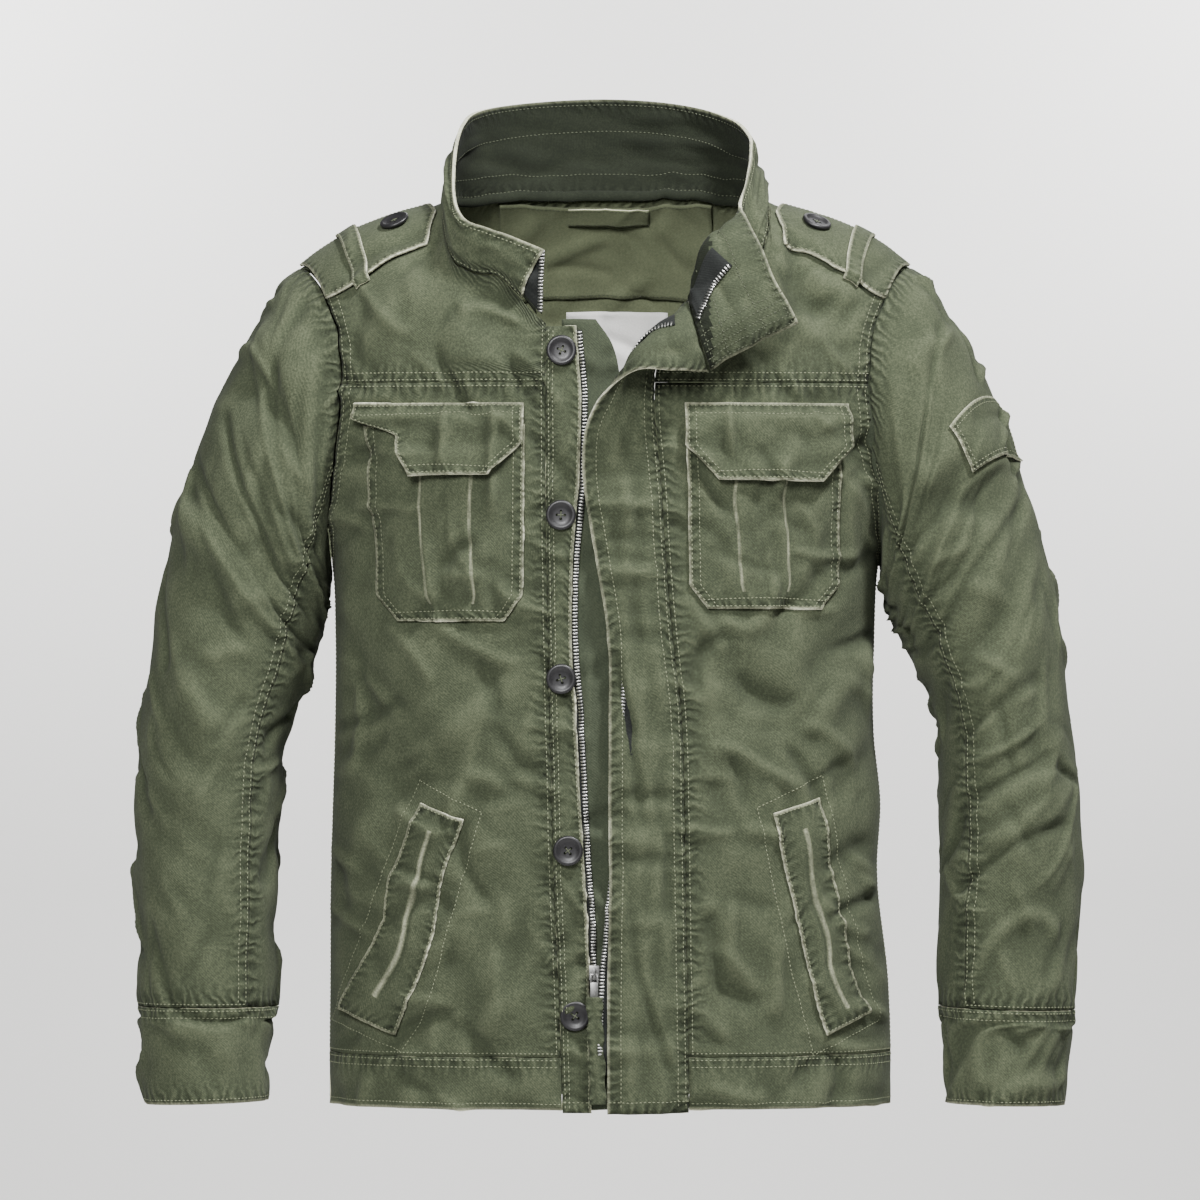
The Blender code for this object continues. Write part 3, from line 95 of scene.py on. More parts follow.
# %% A table that is read smoothly
class Table:
    """Rows of sizes under named columns. The first says where; whole arrays of places are read at once."""

    def __init__(self, columns, rows):
        self.columns = columns.split()
        values = np.array(rows, float)
        values = values[values[:, 0].argsort()]
        self.where = values[:, 0]
        self.values = values
        steps = np.diff(self.where)[:, None]
        rises = np.diff(values, axis=0) / steps
        middle = (steps[:-1] * rises[1:] + steps[1:] * rises[:-1]) / (steps[:-1] + steps[1:])
        self.slopes = np.vstack([rises[:1], middle, rises[-1:]])

    def at(self, where):
        """The sizes at these places, by column name."""
        where = np.clip(np.asarray(where, float), self.where[0], self.where[-1])
        row = np.clip(np.searchsorted(self.where, where, side="right") - 1, 0, len(self.where) - 2)
        step = (self.where[row + 1] - self.where[row])[..., None]
        part = (where - self.where[row])[..., None] / step
        start = 2 * part**3 - 3 * part**2 + 1
        leave = part**3 - 2 * part**2 + part
        arrive = part**3 - part**2
        mix = start * self.values[row] + (1 - start) * self.values[row + 1]
        mix = mix + step * (leave * self.slopes[row] + arrive * self.slopes[row + 1])
        return {name: mix[..., number] for number, name in enumerate(self.columns)}


# %% Tables of the jacket's form
# Half widths and depths of the body at each height. Left and right are as the viewer in front sees them.
BODY = Table(
    "z left right front back",
    [
        (-705, 214, 220, 119, 112),
        (-655, 214, 220.5, 121, 112),
        (-605, 213.5, 218.5, 123, 111),
        (-520, 213, 210, 126, 109),
        (-468, 211.5, 212.5, 127, 108),
        (-416, 210, 207.5, 128, 109),
        (-338, 209.5, 208, 130, 113),
        (-285, 212, 211, 131, 118),
        (-226, 227, 226, 131, 122),
        (-180, 239, 238, 130, 123),
        (-130, 245, 244, 128, 121),
    ],
)

# Height of the shoulder line above each distance from the middle.
SHOULDER = Table(
    "x z",
    [(0, 34), (60, 26), (100, 10), (130, -5), (170, -19), (200, -32), (239, -57), (262, -75)],
)

# The armhole seam: share of the half width at each height up the cloth.
ARMHOLE = Table(
    "up share",
    [
        (-155, 1.0),
        (-145, 0.995),
        (-128, 0.975),
        (-105, 0.940),
        (-70, 0.885),
        (-35, 0.842),
        (0, 0.828),
        (18, 0.840),
        (35, 0.868),
        (65, 0.915),
        (90, 0.950),
        (110, 0.974),
    ],
)

# The top edge of a front yoke, from the front edge along the neck and the shoulder seam to the sleeve.
YOKE_TOP = {
    "left": Table(
        "share x up",
        [
            (0.00, 46, 13),
            (0.10, 58, 18),
            (0.18, 68, 24),
            (0.27, 82, 31),
            (0.38, 105, 37),
            (0.47, 119, 48),
            (0.53, 125, 70),
            (0.60, 126, 110),
            (0.80, 182, 110),
            (1.00, 238, 110),
        ],
    ),
    "right": Table(
        "share x up",
        [
            (0.00, 63, 21),
            (0.10, 74, 26),
            (0.20, 88, 31),
            (0.38, 107, 38),
            (0.47, 119, 48),
            (0.53, 125, 70),
            (0.60, 126, 110),
            (0.80, 182, 110),
            (1.00, 238, 110),
        ],
    ),
}

# The top edge of the back yoke, from the middle along the neck and the shoulder seam to the sleeve.
BACK_TOP = Table(
    "share x up",
    [
        (0.00, 0, 66),
        (0.18, 45, 69),
        (0.34, 86, 77),
        (0.46, 116, 90),
        (0.54, 126, 110),
        (0.77, 182, 110),
        (1.00, 238, 110),
    ],
)

# Soft folds of the body's front: from one point to another, half width across, and height.
BODY_FOLDS = (
    # x0, z0, x1, z1, half_width, height
    (147, -56, 160, -90, 15, -6),
    (158, -90, 186, -95, 14, -5),
    (176, -60, 190, -84, 12, 4),
    (-140, -70, -190, -120, 20, 4),
    (-60, -100, -100, -80, 18, -4),
    (-120, -110, -70, -136, 18, 3),
    (-150, -345, -100, -420, 22, 4),
    (-190, -360, -150, -470, 20, -4),
    (90, -350, 150, -420, 22, -4),
    (130, -350, 190, -430, 20, 4),
    (-110, -560, -70, -640, 20, 3),
    (80, -560, 110, -640, 20, -3),
)

# Soft folds of the body's back, seen from behind with the same X.
BACK_FOLDS = (
    (-150, -180, -60, -250, 24, 4),
    (150, -190, 70, -260, 24, 4),
    (-120, -300, -30, -340, 26, -4),
    (120, -320, 30, -350, 26, -4),
    (-160, -430, -60, -470, 24, 4),
    (150, -450, 50, -500, 24, 3),
    (-110, -560, 20, -600, 24, -3),
)

# Sleeve sections from the shoulder to the cuff's end: outermost and innermost points, middle and half
# depth.
SLEEVE_COLUMNS = "place outer_x outer_z inner_x inner_z middle_y depth"
SLEEVES = {
    "left": Table(
        SLEEVE_COLUMNS,
        [
            (1, 261.5, -84, 213.6, -298, 0, 89),
            (2, 283, -120, 214.4, -312, 0, 87),
            (3, 305, -164, 216.6, -325, 0, 84),
            (4, 322.5, -211, 219.6, -338, 0, 80),
            (5, 336, -259, 223.8, -352, -1, 77),
            (6, 347, -312, 230, -377, -2, 73),
            (7, 354, -366, 241, -401, -4, 69),
            (8, 361.5, -420, 249.5, -430, -6, 66),
            (9, 364.5, -458, 251.5, -461, -8, 64),
            (10, 364.5, -512, 253.5, -512, -10, 61),
            (11, 361.5, -562, 255, -562, -13, 57),
            (12, 363, -625, 256.5, -625, -16, 53),
            (13, 361, -648, 259, -646, -17, 50),
            (14, 355.5, -701, 261, -698, -19, 48),
        ],
    ),
    "right": Table(
        SLEEVE_COLUMNS,
        [
            (1, 263, -84, 212.8, -298, 0, 89),
            (2, 285, -120, 213.8, -309, 0, 87),
            (3, 304, -164, 217, -320, 0, 84),
            (4, 321, -211, 223, -332, 0, 80),
            (5, 336.5, -259, 231, -346, -1, 77),
            (6, 349.5, -312, 241, -368, -2, 73),
            (7, 355.5, -366, 252.5, -392, -4, 69),
            (8, 362, -420, 257.5, -425, -6, 66),
            (9, 366.5, -458, 257.5, -464, -8, 64),
            (10, 369.5, -512, 259, -512, -10, 61),
            (11, 367, -562, 257, -562, -13, 57),
            (12, 363, -628, 257, -625, -16, 53),
            (13, 360, -650, 260, -648, -17, 50),
            (14, 354, -702, 262, -700, -19, 48),
        ],
    ),
}

# Soft folds of the sleeves: where they start and end along the sleeve and round it, half width, height.
# Those behind are the same on both.
SLEEVE_BACK_FOLDS = (
    # place0, turn0, place1, turn1, half_width, height
    (2.0, 300, 3.6, 250, 20, -5),
    (5.0, 330, 6.4, 270, 20, -4),
    (8.0, 320, 9.0, 260, 20, 4),
)
SLEEVE_FOLDS = {
    "left": (
        (0.9, 95, 2.2, 35, 17, -7),
        (0.5, 75, 1.4, 30, 16, 4),
        (2.5, 80, 3.8, 100, 14, -4),
        (3.2, 120, 4.4, 95, 14, -4),
        (5.2, 25, 5.6, 85, 17, -5),
        (4.6, 20, 4.8, 70, 17, 4),
        (7.0, 60, 8.2, 110, 18, 4),
        (9.3, 40, 10.2, 95, 18, -3),
        (10.6, 30, 11.2, 90, 16, 3),
    ),
    "right": (
        (2.2, 110, 4.2, 45, 17, -6),
        (1.6, 100, 3.4, 40, 16, 4),
        (4.9, 30, 6.2, 100, 18, -7),
        (5.2, 30, 6.9, 100, 17, 4),
        (6.6, 40, 8.4, 70, 16, -4),
        (8.8, 50, 9.8, 100, 18, 3),
        (10.4, 40, 11.2, 90, 18, -3),
    ),
}

# The collar from its left front end round the back to the end that has fallen open on the right.
# bow fills it out along its own face, and the roll carries its middle towards the neck where it is open.
COLLAR = Table(
    "place neck rim_x rim_y rim_z bow roll_x roll_y roll_z",
    [
        (0, -97, -47, -128, -45, 2, 0, 0, 0),
        (1, -88, -69, -127, -36, 3, 0, 0, 0),
        (2, -79, -91, -122, -28, 3, 0, 0, 0),
        (3, -70, -108, -112, -21, 4, 0, 0, 0),
        (4, -63, -116, -94, -8, 4, 0, 0, 0),
        (5, -56, -118, -66, 14, 4, 0, 0, 0),
        (6, -50, -117, -30, 38, 4, 0, 0, 0),
        (7, -41, -112, 8, 58, 4, 0, 0, 0),
        (8, -29, -99, 46, 70, 4, 0, 0, 0),
        (9, -15, -56, 76, 78, 4, 0, 0, 0),
        (10, 0, 4, 86, 81, 4, 0, 0, 0),
        (11, 15, 60, 76, 76, 4, 0, 0, 0),
        (12, 29, 98, 46, 64, 4, 0, 0, 0),
        (13, 41, 112, 8, 50, 4, 0, 0, 0),
        (14, 50, 113, -24, 36, 4, 0, 0, 0),
        (15, 56, 109, -54, 14, 3, 0, 0, 0),
        (16, 63, 104, -84, -8, 0, -3, 0, 2),
        (17, 72, 109, -110, -26, 0, -18, -4, 12),
        (18, 84, 119, -130, -47, 0, -27, -8, 14),
        (19, 100, 128, -138, -68, 0, -11, -3, 4),
        (20, 100, 138, -138, -86, 0, -4, -3, 2),
        (21, 100, 145.5, -134, -101, 0, -2, -3, 1),
    ],
)
# The line of teeth on the fallen collar's inner face, and how far its tape reaches towards the roll.
COLLAR_ZIP = Table(
    "part place up place_back up_back",
    [
        (0.0, 19.80, 0.05, -0.55, 0.00),
        (0.5, 19.35, 0.30, -0.45, -0.10),
        (1.0, 18.60, 0.74, -0.45, -0.12),
    ],
)

# The fly placket from the hem to its top: its seam, middle and free edge, each with how far it stands off.
FLY = Table(
    "place seam_x seam_z seam_off mid_x mid_z mid_off free_x free_z free_off",
    [
        (0, 63.5, -703, 0, 32, -704, 3.6, 1, -704, 4),
        (1, 62.5, -640, 0, 32, -640, 3.6, 1, -640, 4),
        (2, 61.5, -580, 0, 32, -580, 3.6, 1.5, -580, 4),
        (3, 60.5, -520, 0, 32, -520, 4.2, 2.5, -520, 4),
        (4, 59.5, -460, 0, 31, -460, 4.8, 2, -460, 4),
        (5, 57.5, -400, 0, 30, -400, 4.8, 2, -400, 4),
        (6, 50.5, -340, 0, 25, -340, 4.0, 1, -340, 4),
        (7, 45.5, -280, 0, 18, -280, 3.8, -8, -280, 4),
        (8, 42, -225, 0, 12, -225, 3.8, -17, -225, 4),
        (9, 38.5, -188, 0, 12, -188, 3.8, -17, -188, 5),
        (10, 37, -166, 0, 13, -168, 6, -9, -166, 8),
        (11, 37, -148, 0, 13, -148, 16, 2, -152, 22),
        (12, 39, -126, 0.5, 21, -126, 29, 24, -138, 41),
        (13, 47, -103, 1.5, 38, -112, 30, 50, -138, 36),
        (14, 63, -84, 4, 68, -110, 26, 77, -138, 19),
    ],
)

# The patch on the right sleeve: its near and far edges, from its foot up to its top.
PATCH = Table(
    "part near_place near_turn far_place far_turn",
    [(0, 3.12, 66, 3.87, 8), (1, 1.95, 69, 2.90, 8)],
)

# The button placket's two edges.
PLACKET = Table(
    "z seam_x free_x",
    [
        (-703, -33, -11),
        (-620, -35.5, -12.5),
        (-563, -38, -14),
        (-515, -40, -16.5),
        (-450, -41.5, -20.5),
        (-395, -43, -23.5),
        (-345, -44, -26),
        (-280, -45, -25),
        (-222, -46, -21),
        (-190, -46, -19.5),
        (-152, -46, -19),
        (-118, -46, -22),
        (-103, -46, -23),
    ],
)

# Slanted hand pockets: the welt's two long edges, from its top to its bottom.
WELTS = {
    "left": Table(
        "place near_x near_z far_x far_z",
        [
            (0, -109, -480, -142, -467),
            (1, -126, -530, -156, -502),
            (2, -131.5, -568, -165, -527),
            (3, -144, -605, -172, -561),
            (4, -162, -645.5, -204, -626.5),
        ],
    ),
    "right": Table(
        "place near_x near_z far_x far_z",
        [
            (0, 127, -475, 165.5, -463),
            (1, 138.5, -527, 171.5, -511),
            (2, 151, -581, 180, -555),
            (3, 157, -610, 189.5, -598),
            (4, 168.5, -645.5, 200, -629),
        ],
    ),
}

# Outlines of the chest pockets and their flaps.
POCKETS = {
    "left": {"left": -184.5, "right": -61.5, "bottom": -328.0, "narrow": 12.0},
    "right": {"left": 61.5, "right": 179.0, "bottom": -318.5, "narrow": 2.0},
}
FLAPS = {
    "left": {"left": -191.0, "right": -62.5, "low": -216.0, "corner": 26.0, "curl": True},
    "right": {"left": 60.0, "right": 184.5, "low": -220.0, "corner": 24.0, "curl": False},
}

# The line of the left half of the zip's teeth.
ZIP_LEFT = Table(
    "z tooth_x",
    [
        (-690, -8.5),
        (-590, -10),
        (-563, -10),
        (-515, -13.5),
        (-450, -17),
        (-395, -20),
        (-334, -24),
        (-272, -22),
        (-246, -19.5),
        (-190, -17),
        (-152, -16.5),
        (-122, -19.5),
        (-103, -21),
    ],
)

# The edge of the right half of the zip, as a share of the fly placket's width from its seam.
ZIP_RIGHT = Table(
    "place edge_share",
    [(0, 1.10), (1.6, 1.10), (3, 1.0), (5, 0.85), (8, 0.62), (11, 0.46), (14, 0.38)],
)

# The zip guard's two long edges.
GUARD = Table(
    "z near_x far_x",
    [
        (-701, -24, 16),
        (-590, -26, 16),
        (-450, -32, 14),
        (-334, -38, 10),
        (-246, -36, 10),
        (-160, -34, 12),
        (-137, -34, 10),
        (-115, -34, 4),
        (-97, -34, -8),
    ],
)

# %% [markdown]
# ## Creases
# A crease is a soft ridge or trough from one point to another. They are laid where the photograph shows them,
# uneven in length and depth, with similar ones on the sides that it hides. The columns are the two ends, the
# half width across and the height, in millimetres. On a sleeve the ends are places down it and turns round
# it.

# %% Tables of the finer creases
FRONT_CREASES = (
    # x0, z0, x1, z1, half_width, height
    (-178, -250, -190, -330, 9, -2.2),
    (-196, -300, -205, -390, 8, 2.0),
    (-60, -345, -120, -395, 10, -2.0),
    (-75, -380, -150, -440, 11, 2.2),
    (-55, -430, -95, -478, 9, -1.6),
    (-95, -474, -66, -467, 4, 1.4),
    (-104, -505, -74, -498, 4, 1.5),
    (-116, -552, -90, -548, 3.5, 1.4),
    (-120, -425, -170, -470, 10, -2.0),
    (-185, -480, -205, -545, 8, 2.0),
    (-60, -540, -80, -610, 8, -1.6),
    (-58, -600, -95, -640, 7, 1.5),
    (-205, -620, -188, -600, 5, 1.6),
    (-100, -648, -70, -655, 5, -1.3),
    (-200, -420, -160, -455, 8, -1.8),
    (70, -330, 120, -352, 9, 2.0),
    (75, -365, 140, -395, 10, -2.2),
    (200, -320, 150, -375, 11, -2.6),
    (205, -355, 140, -425, 10, 2.4),
    (207, -420, 165, -470, 9, -2.0),
    (195, -470, 206, -540, 7, 2.0),
    (80, -450, 105, -500, 9, -1.8),
    (75, -520, 100, -600, 8, 1.8),
    (90, -600, 130, -640, 7, -1.5),
    (185, -560, 200, -640, 6, -1.8),
    (150, -640, 185, -655, 5, 1.4),
    (110, -440, 150, -455, 6, 1.5),
    (197, -175, 201, -245, 6, -1.6),
    (186, -205, 190, -300, 6, 1.8),
    (-200, -180, -206, -250, 6, 1.6),
    (142, -34, 149, -78, 7, -6.5),
    (149, -78, 166, -93, 8, -5.0),
    (166, -93, 180, -84, 6, -3.0),
    (158, -60, 172, -78, 7, 4.5),
    (176, -96, 190, -60, 6, 3.0),
    (84, -120, 130, -132, 8, -1.6),
    (104, -100, 170, -118, 8, 1.6),
    (-60, -66, -98, -110, 8, -2.2),
    (-72, -60, -120, -96, 9, 1.8),
    (-150, -60, -176, -112, 9, 2.0),
    (-182, -75, -192, -126, 6, -1.8),
    (-120, -124, -70, -131, 6, 1.4),
)
BACK_CREASES = (
    (-170, -110, -120, -150, 10, 2.2),
    (165, -115, 110, -160, 10, -2.2),
    (-180, -200, -110, -260, 9, -2.2),
    (175, -215, 90, -280, 9, 2.4),
    (-90, -300, -20, -330, 9, 2.0),
    (20, -335, 110, -310, 10, -2.2),
    (-150, -350, -60, -400, 10, 2.2),
    (-40, -395, 60, -420, 9, -1.8),
    (70, -400, 170, -360, 10, 2.2),
    (-185, -420, -130, -480, 9, -2.0),
    (130, -470, 190, -420, 9, 2.0),
    (-60, -500, 30, -520, 9, 1.8),
    (40, -560, 120, -530, 9, -1.8),
    (-140, -570, -60, -600, 9, 2.0),
    (-30, -620, 60, -640, 8, 1.6),
    (150, -600, 190, -560, 8, -1.8),
)
SLEEVE_BACK_CREASES = (
    # place0, turn0, place1, turn1, half_width, height
    (1.2, 310, 2.4, 280, 9, 2.4),
    (3.0, 330, 4.0, 290, 9, 2.4),
    (4.4, 250, 5.2, 290, 8, -2.4),
    (6.0, 320, 7.0, 280, 9, 2.4),
    (7.4, 250, 8.2, 300, 8, -2.2),
    (9.0, 330, 10.0, 280, 8, 2.2),
    (10.6, 250, 11.2, 300, 7, -2.0),
)
SLEEVE_CREASES = {
    "left": (
        (0.6, 60, 1.6, 52, 6, -2.4),
        (0.9, 110, 1.7, 84, 7, 2.4),
        (1.8, 118, 2.6, 98, 7, -3.0),
        (2.2, 70, 3.4, 76, 7, 2.2),
        (2.7, 124, 3.5, 108, 6, 2.4),
        (3.4, 96, 4.4, 82, 7, -2.4),
        (4.2, 20, 4.9, 44, 7, 2.2),
        (4.6, 108, 5.4, 84, 8, 3.0),
        (5.0, 60, 5.9, 100, 7, -3.2),
        (5.9, 104, 6.5, 74, 7, 2.4),
        (6.4, 42, 7.2, 66, 7, 2.0),
        (7.0, 110, 7.9, 92, 6, -2.2),
        (7.6, 54, 8.3, 78, 7, -1.8),
        (8.4, 100, 9.2, 84, 7, 2.0),
        (9.0, 36, 9.6, 60, 6, 1.8),
        (9.8, 102, 10.6, 92, 6, -1.8),
        (10.3, 52, 10.9, 74, 6, 1.8),
        (11.1, 96, 11.7, 70, 6, -1.8),
        (11.4, 34, 11.8, 52, 5, 1.6),
    ),
    "right": (
        (0.5, 70, 1.4, 62, 6, -2.0),
        (1.0, 100, 2.2, 92, 7, 2.2),
        (2.4, 124, 3.0, 96, 7, -3.0),
        (2.9, 90, 4.1, 60, 7, -2.6),
        (3.6, 112, 4.2, 84, 6, 2.4),
        (4.4, 26, 5.0, 60, 7, -2.6),
        (4.8, 96, 5.7, 66, 8, 2.8),
        (5.4, 26, 6.6, 82, 8, -3.4),
        (6.2, 104, 6.9, 80, 6, 2.4),
        (6.7, 44, 7.9, 58, 7, 2.6),
        (7.3, 96, 8.7, 88, 7, -2.6),
        (8.2, 40, 9.0, 66, 7, 2.0),
        (9.2, 96, 9.9, 74, 7, -2.2),
        (9.7, 34, 10.4, 56, 6, 2.0),
        (10.4, 90, 11.1, 70, 6, 2.2),
        (11.0, 40, 11.6, 62, 6, -2.0),
        (11.3, 100, 11.8, 84, 5, 1.8),
    ),
}
CUFF_CREASES = {
    "left": (
        (12.5, 40, 13.0, 70, 6, 1.6),
        (13.2, 84, 13.8, 104, 6, -1.5),
        (12.4, 100, 12.9, 112, 5, 1.4),
    ),
    "right": (
        (12.4, 60, 12.9, 84, 6, 2.2),
        (12.7, 98, 13.3, 74, 6, -2.4),
        (12.9, 44, 13.5, 60, 6, 2.4),
        (13.3, 92, 13.8, 106, 6, 2.0),
        (13.2, 26, 13.8, 40, 6, -2.0),
    ),
}
# Long slanting folds of the fly placket.
FLY_CREASES = (
    # x0, z0, x1, z1, half_width, height
    (7.7, -352, 27, -481, 3.6, -2.6),
    (14, -362, 36, -470, 3.2, 1.8),
    (16, -389, 46, -500, 3.4, -2.6),
    (46, -490, 48, -560, 3.4, -2.2),
    (24, -420, 50, -520, 3.0, 1.8),
    (18, -540, 23, -595, 3.4, -2.0),
    (22, -590, 52, -685, 3.6, -2.4),
    (30, -596, 56, -676, 3.2, 1.6),
    (2, -250, 20, -330, 4.5, -1.6),
    (8, -180, 22, -270, 4.5, 1.6),
)

# The all-over crumpling of washed cloth: the seed of its pattern, its scale and its height. The back of the
# body reads it from much higher up, so that it differs from the front.
BEHIND_SHIFT = 900
BODY_CRUMPLE = {"seed": 11, "length": 52, "height": 0.8}
BODY_WRINKLES = {"seed": 12, "spacing": 17, "height": 2.7}
SLEEVE_CRUMPLE = {"length": 52, "height": 0.8}
SLEEVE_WRINKLES = {"spacing": 18, "height": 2.4}
SLEEVE_CRUMPLE_SEED, SLEEVE_WRINKLE_SEED = 21, 24
COLLAR_CRUMPLE = {"seed": 31, "length": 26, "height": 0.8}
COLLAR_WRINKLES = {"seed": 32, "spacing": 15, "height": 1.7}
HEM_CRUMPLE = {"seed": 41, "length": 60, "height": 1.0}
FLY_CRUMPLE = {"seed": 51, "length": 24, "height": 0.9}
POCKET_CRUMPLE = {"seed": 61, "length": 24, "height": 0.45}
FLAP_CRUMPLE = {"seed": 71, "length": 34, "height": 1.3}

# %% [markdown]
# ## Surfaces
# The body is a rounded oval whose half widths and depths come from the table, with an arch over the
# shoulders. The other surfaces are built on it. Each takes whole arrays of places at once, because one
# panel has thousands of points, and each can be moved out along its own normal: that is how a pocket lies
# on a front.

# %% Small helpers for arrays
def signed_power(value, power):
    return np.sign(value) * np.abs(value) ** power


def smooth_step(value):
    value = np.clip(value, 0.0, 1.0)
    return value * value * (3 - 2 * value)


def between(start, end, share):
    return start + (end - start) * share


def stack(*parts):
    return np.stack(np.broadcast_arrays(*[np.asarray(part, float) for part in parts]), axis=-1)


def unit(vectors):
    return vectors / np.linalg.norm(vectors, axis=-1, keepdims=True)


def times(factor, vectors):
    return np.asarray(factor, float)[..., None] * vectors


def ridge(across, along, x0, y0, x1, y1, half_width, height):
    """Height of one soft fold, with rounded flanks and tapered ends."""
    dx, dy = x1 - x0, y1 - y0
    length = math.hypot(dx, dy)
    part = ((across - x0) * dx + (along - y0) * dy) / length**2
    distance = np.abs(dx * (along - y0) - dy * (across - x0)) / length
    taper = smooth_step(2.5 * (part + 0.2)) * smooth_step(2.5 * (1.2 - part))
    return height * taper * np.exp(-((distance / half_width) ** 2))


def crumple(across, along, seed, length, height):
    """Small uneven creases: waves of many directions, each bent by two slow ones."""
    chance = np.random.default_rng(seed)
    bend = np.sin(across / (2.3 * length) + chance.uniform(0, 6)) + np.sin(along / (1.9 * length))
    total = 0.0
    for _ in range(9):
        turn, size, phase, sway = chance.uniform((0, 0.6, 0, 0.5), (math.pi, 1.6, 6.3, 1.6))
        wave = (across * math.cos(turn) + along * math.sin(turn)) * 2 * math.pi / (size * length)
        total = total + np.sin(wave + phase + bend * sway)
    return height * total / 3


def wrinkles(across, along, seed, spacing, height):
    """Thin creases, short and uneven: lines where a bent wave crosses zero, let through here and there."""
    chance = np.random.default_rng(seed)
    total = 0.0
    for number in range(7):
        turn, size, phase, sway = chance.uniform((0, 0.7, 0, 0.8), (math.pi, 1.5, 6.3, 2.2))
        where = across * math.cos(turn) + along * math.sin(turn)
        beside = along * math.cos(turn) - across * math.sin(turn)
        wave = np.sin(where / (size * spacing) + sway * np.sin(beside / (1.7 * spacing) + phase) + phase)
        let = np.sin(beside / (1.3 * spacing) + 2 * phase) * np.sin(where / (2.1 * spacing) + 3 * phase)
        line = np.exp(-((wave / 0.32) ** 2)) * smooth_step(2.2 * let - 0.2)
        total = total + line * (1.0 if number % 2 else -1.0) * (0.6 + 0.5 * (number % 3))
    return height * total


# %% The body's surface
def shoulder_z(x):
    return SHOULDER.at(np.abs(x))["z"]


def bare_body(turn, up):
    """The body's smooth surface. turn is 0 at the middle front and 90 at the viewer's right side."""
    turn = (np.asarray(turn, float) + 180) % 360 - 180
    up = np.asarray(up, float)
    low = np.minimum(up, 0.0)
    row = BODY.at(CAP_Z + low)
    angle = np.radians(turn)
    half = np.where(turn > 0, row["right"], row["left"])
    depth = np.where(np.abs(turn) < 90, row["front"], row["back"])
    x = half * signed_power(np.sin(angle), 2 / OVAL)
    y = -depth * signed_power(np.cos(angle), 2 / OVAL)
    lift = np.radians(90 * np.maximum(up, 0.0) / CAP_RISE)
    return stack(x, y * np.cos(lift), CAP_Z + low + (shoulder_z(x) - CAP_Z) * np.sin(lift))


def body_normal(turn, up):
    across = bare_body(turn + 0.8, up) - bare_body(turn - 0.8, up)
    rise = bare_body(turn, up + 1.0) - bare_body(turn, up - 1.0)
    return unit(np.cross(across, rise))


def body(turn, up, out=0.0):
    """Points of the body's cloth, with its folds and creases, moved out by so much."""
    turn, up = np.asarray(turn, float), np.asarray(up, float)
    point = bare_body(turn, up)
    ahead = np.abs((turn + 180) % 360 - 180) < 90
    fold = np.zeros(point.shape[:-1])
    for side, folds in ((ahead, BODY_FOLDS + FRONT_CREASES), (~ahead, BACK_FOLDS + BACK_CREASES)):
        if side.any():
            heights = sum(ridge(point[..., 0], point[..., 2], *row) for row in folds)
            fold = fold + np.where(side, heights, 0.0)
    z = point[..., 2] + np.where(ahead, 0, BEHIND_SHIFT)
    fold = fold + crumple(point[..., 0] * 1.2, z, **BODY_CRUMPLE)
    fold = fold + wrinkles(point[..., 0] * 1.1, z, **BODY_WRINKLES)
    facing = np.abs(np.cos(np.radians(turn)))
    fold = fold * smooth_step(facing / SIDE_FADE) * smooth_step(1.2 - up / CAP_RISE)
    return point + times(fold + out, body_normal(turn, up))


def turn_at(x, low_z):
    """The turn at which the front's surface reaches this X."""
    row = BODY.at(low_z)
    half = np.where(np.asarray(x) > 0, row["right"], row["left"])
    share = np.clip(np.abs(x) / half, 0.0, 1.0)
    return np.sign(x) * np.degrees(np.arcsin(share ** (OVAL / 2)))


def up_at(x, z):
    share = np.clip((z - CAP_Z) / (shoulder_z(x) - CAP_Z), 0.0, 1.0)
    return np.where(np.asarray(z) <= CAP_Z, z - CAP_Z, CAP_RISE * np.degrees(np.arcsin(share)) / 90)


def front(x, z, out=0.0):
    """Points of the front at this X and Z, moved out by so much."""
    return body(turn_at(x, np.minimum(z, CAP_Z)), up_at(x, z), out)


def edge_turn(side, up):
    """The turn at which the front ends: at the side seam, and above it at the armhole."""
    share = np.minimum(ARMHOLE.at(up)["share"], 1.0)
    return side * np.degrees(np.arcsin(share ** (OVAL / 2)))


def armhole(side, turn, out=0.0, past=0.0):
    """The armhole seam, from the shoulder at 0 down the front to the armpit at 180 and up the back."""
    share = np.where(turn <= 180, turn, 360 - turn) / 180
    up = CAP_RISE + (ARMPIT_Z - CAP_Z - CAP_RISE) * share
    edge = edge_turn(side, up)
    spot = body(np.where(turn <= 180, edge, side * 180 - edge), up, out)
    return spot + np.array((side * past, 0.0, 0.0))


# %% The sleeve's surface
SIDES = {"left": -1, "right": 1}


def bare_sleeve(side_name, place, turn):
    """The sleeve's smooth surface. turn is 0 on its outermost line, 90 in front and 180 inside."""
    side = SIDES[side_name]
    place, turn = np.broadcast_arrays(np.asarray(place, float), np.asarray(turn, float))
    row = SLEEVES[side_name].at(np.maximum(place, 1.0))
    outer = stack(side * row["outer_x"], row["middle_y"], row["outer_z"])
    inner = stack(side * row["inner_x"], row["middle_y"], row["inner_z"])
    angle = np.radians(turn)
    ring = (outer + inner) / 2 + times(np.cos(angle), (outer - inner) / 2)
    ring = ring + stack(0.0, -row["depth"] * np.sin(angle), 0.0)
    top = np.maximum(np.cos(angle), 0.0)
    seam = armhole(side, turn % 360) + stack(side * (ARMHOLE_GAP + 0.8 * top), 0.0, 0.0)
    swell = 4.0 * np.sin(math.pi * np.clip(place, 0.0, 1.0)) * top * 0.7
    rising = seam + times(place, ring - seam) + stack(side * swell, 0.0, swell)
    return np.where((place >= 1)[..., None], ring, rising)


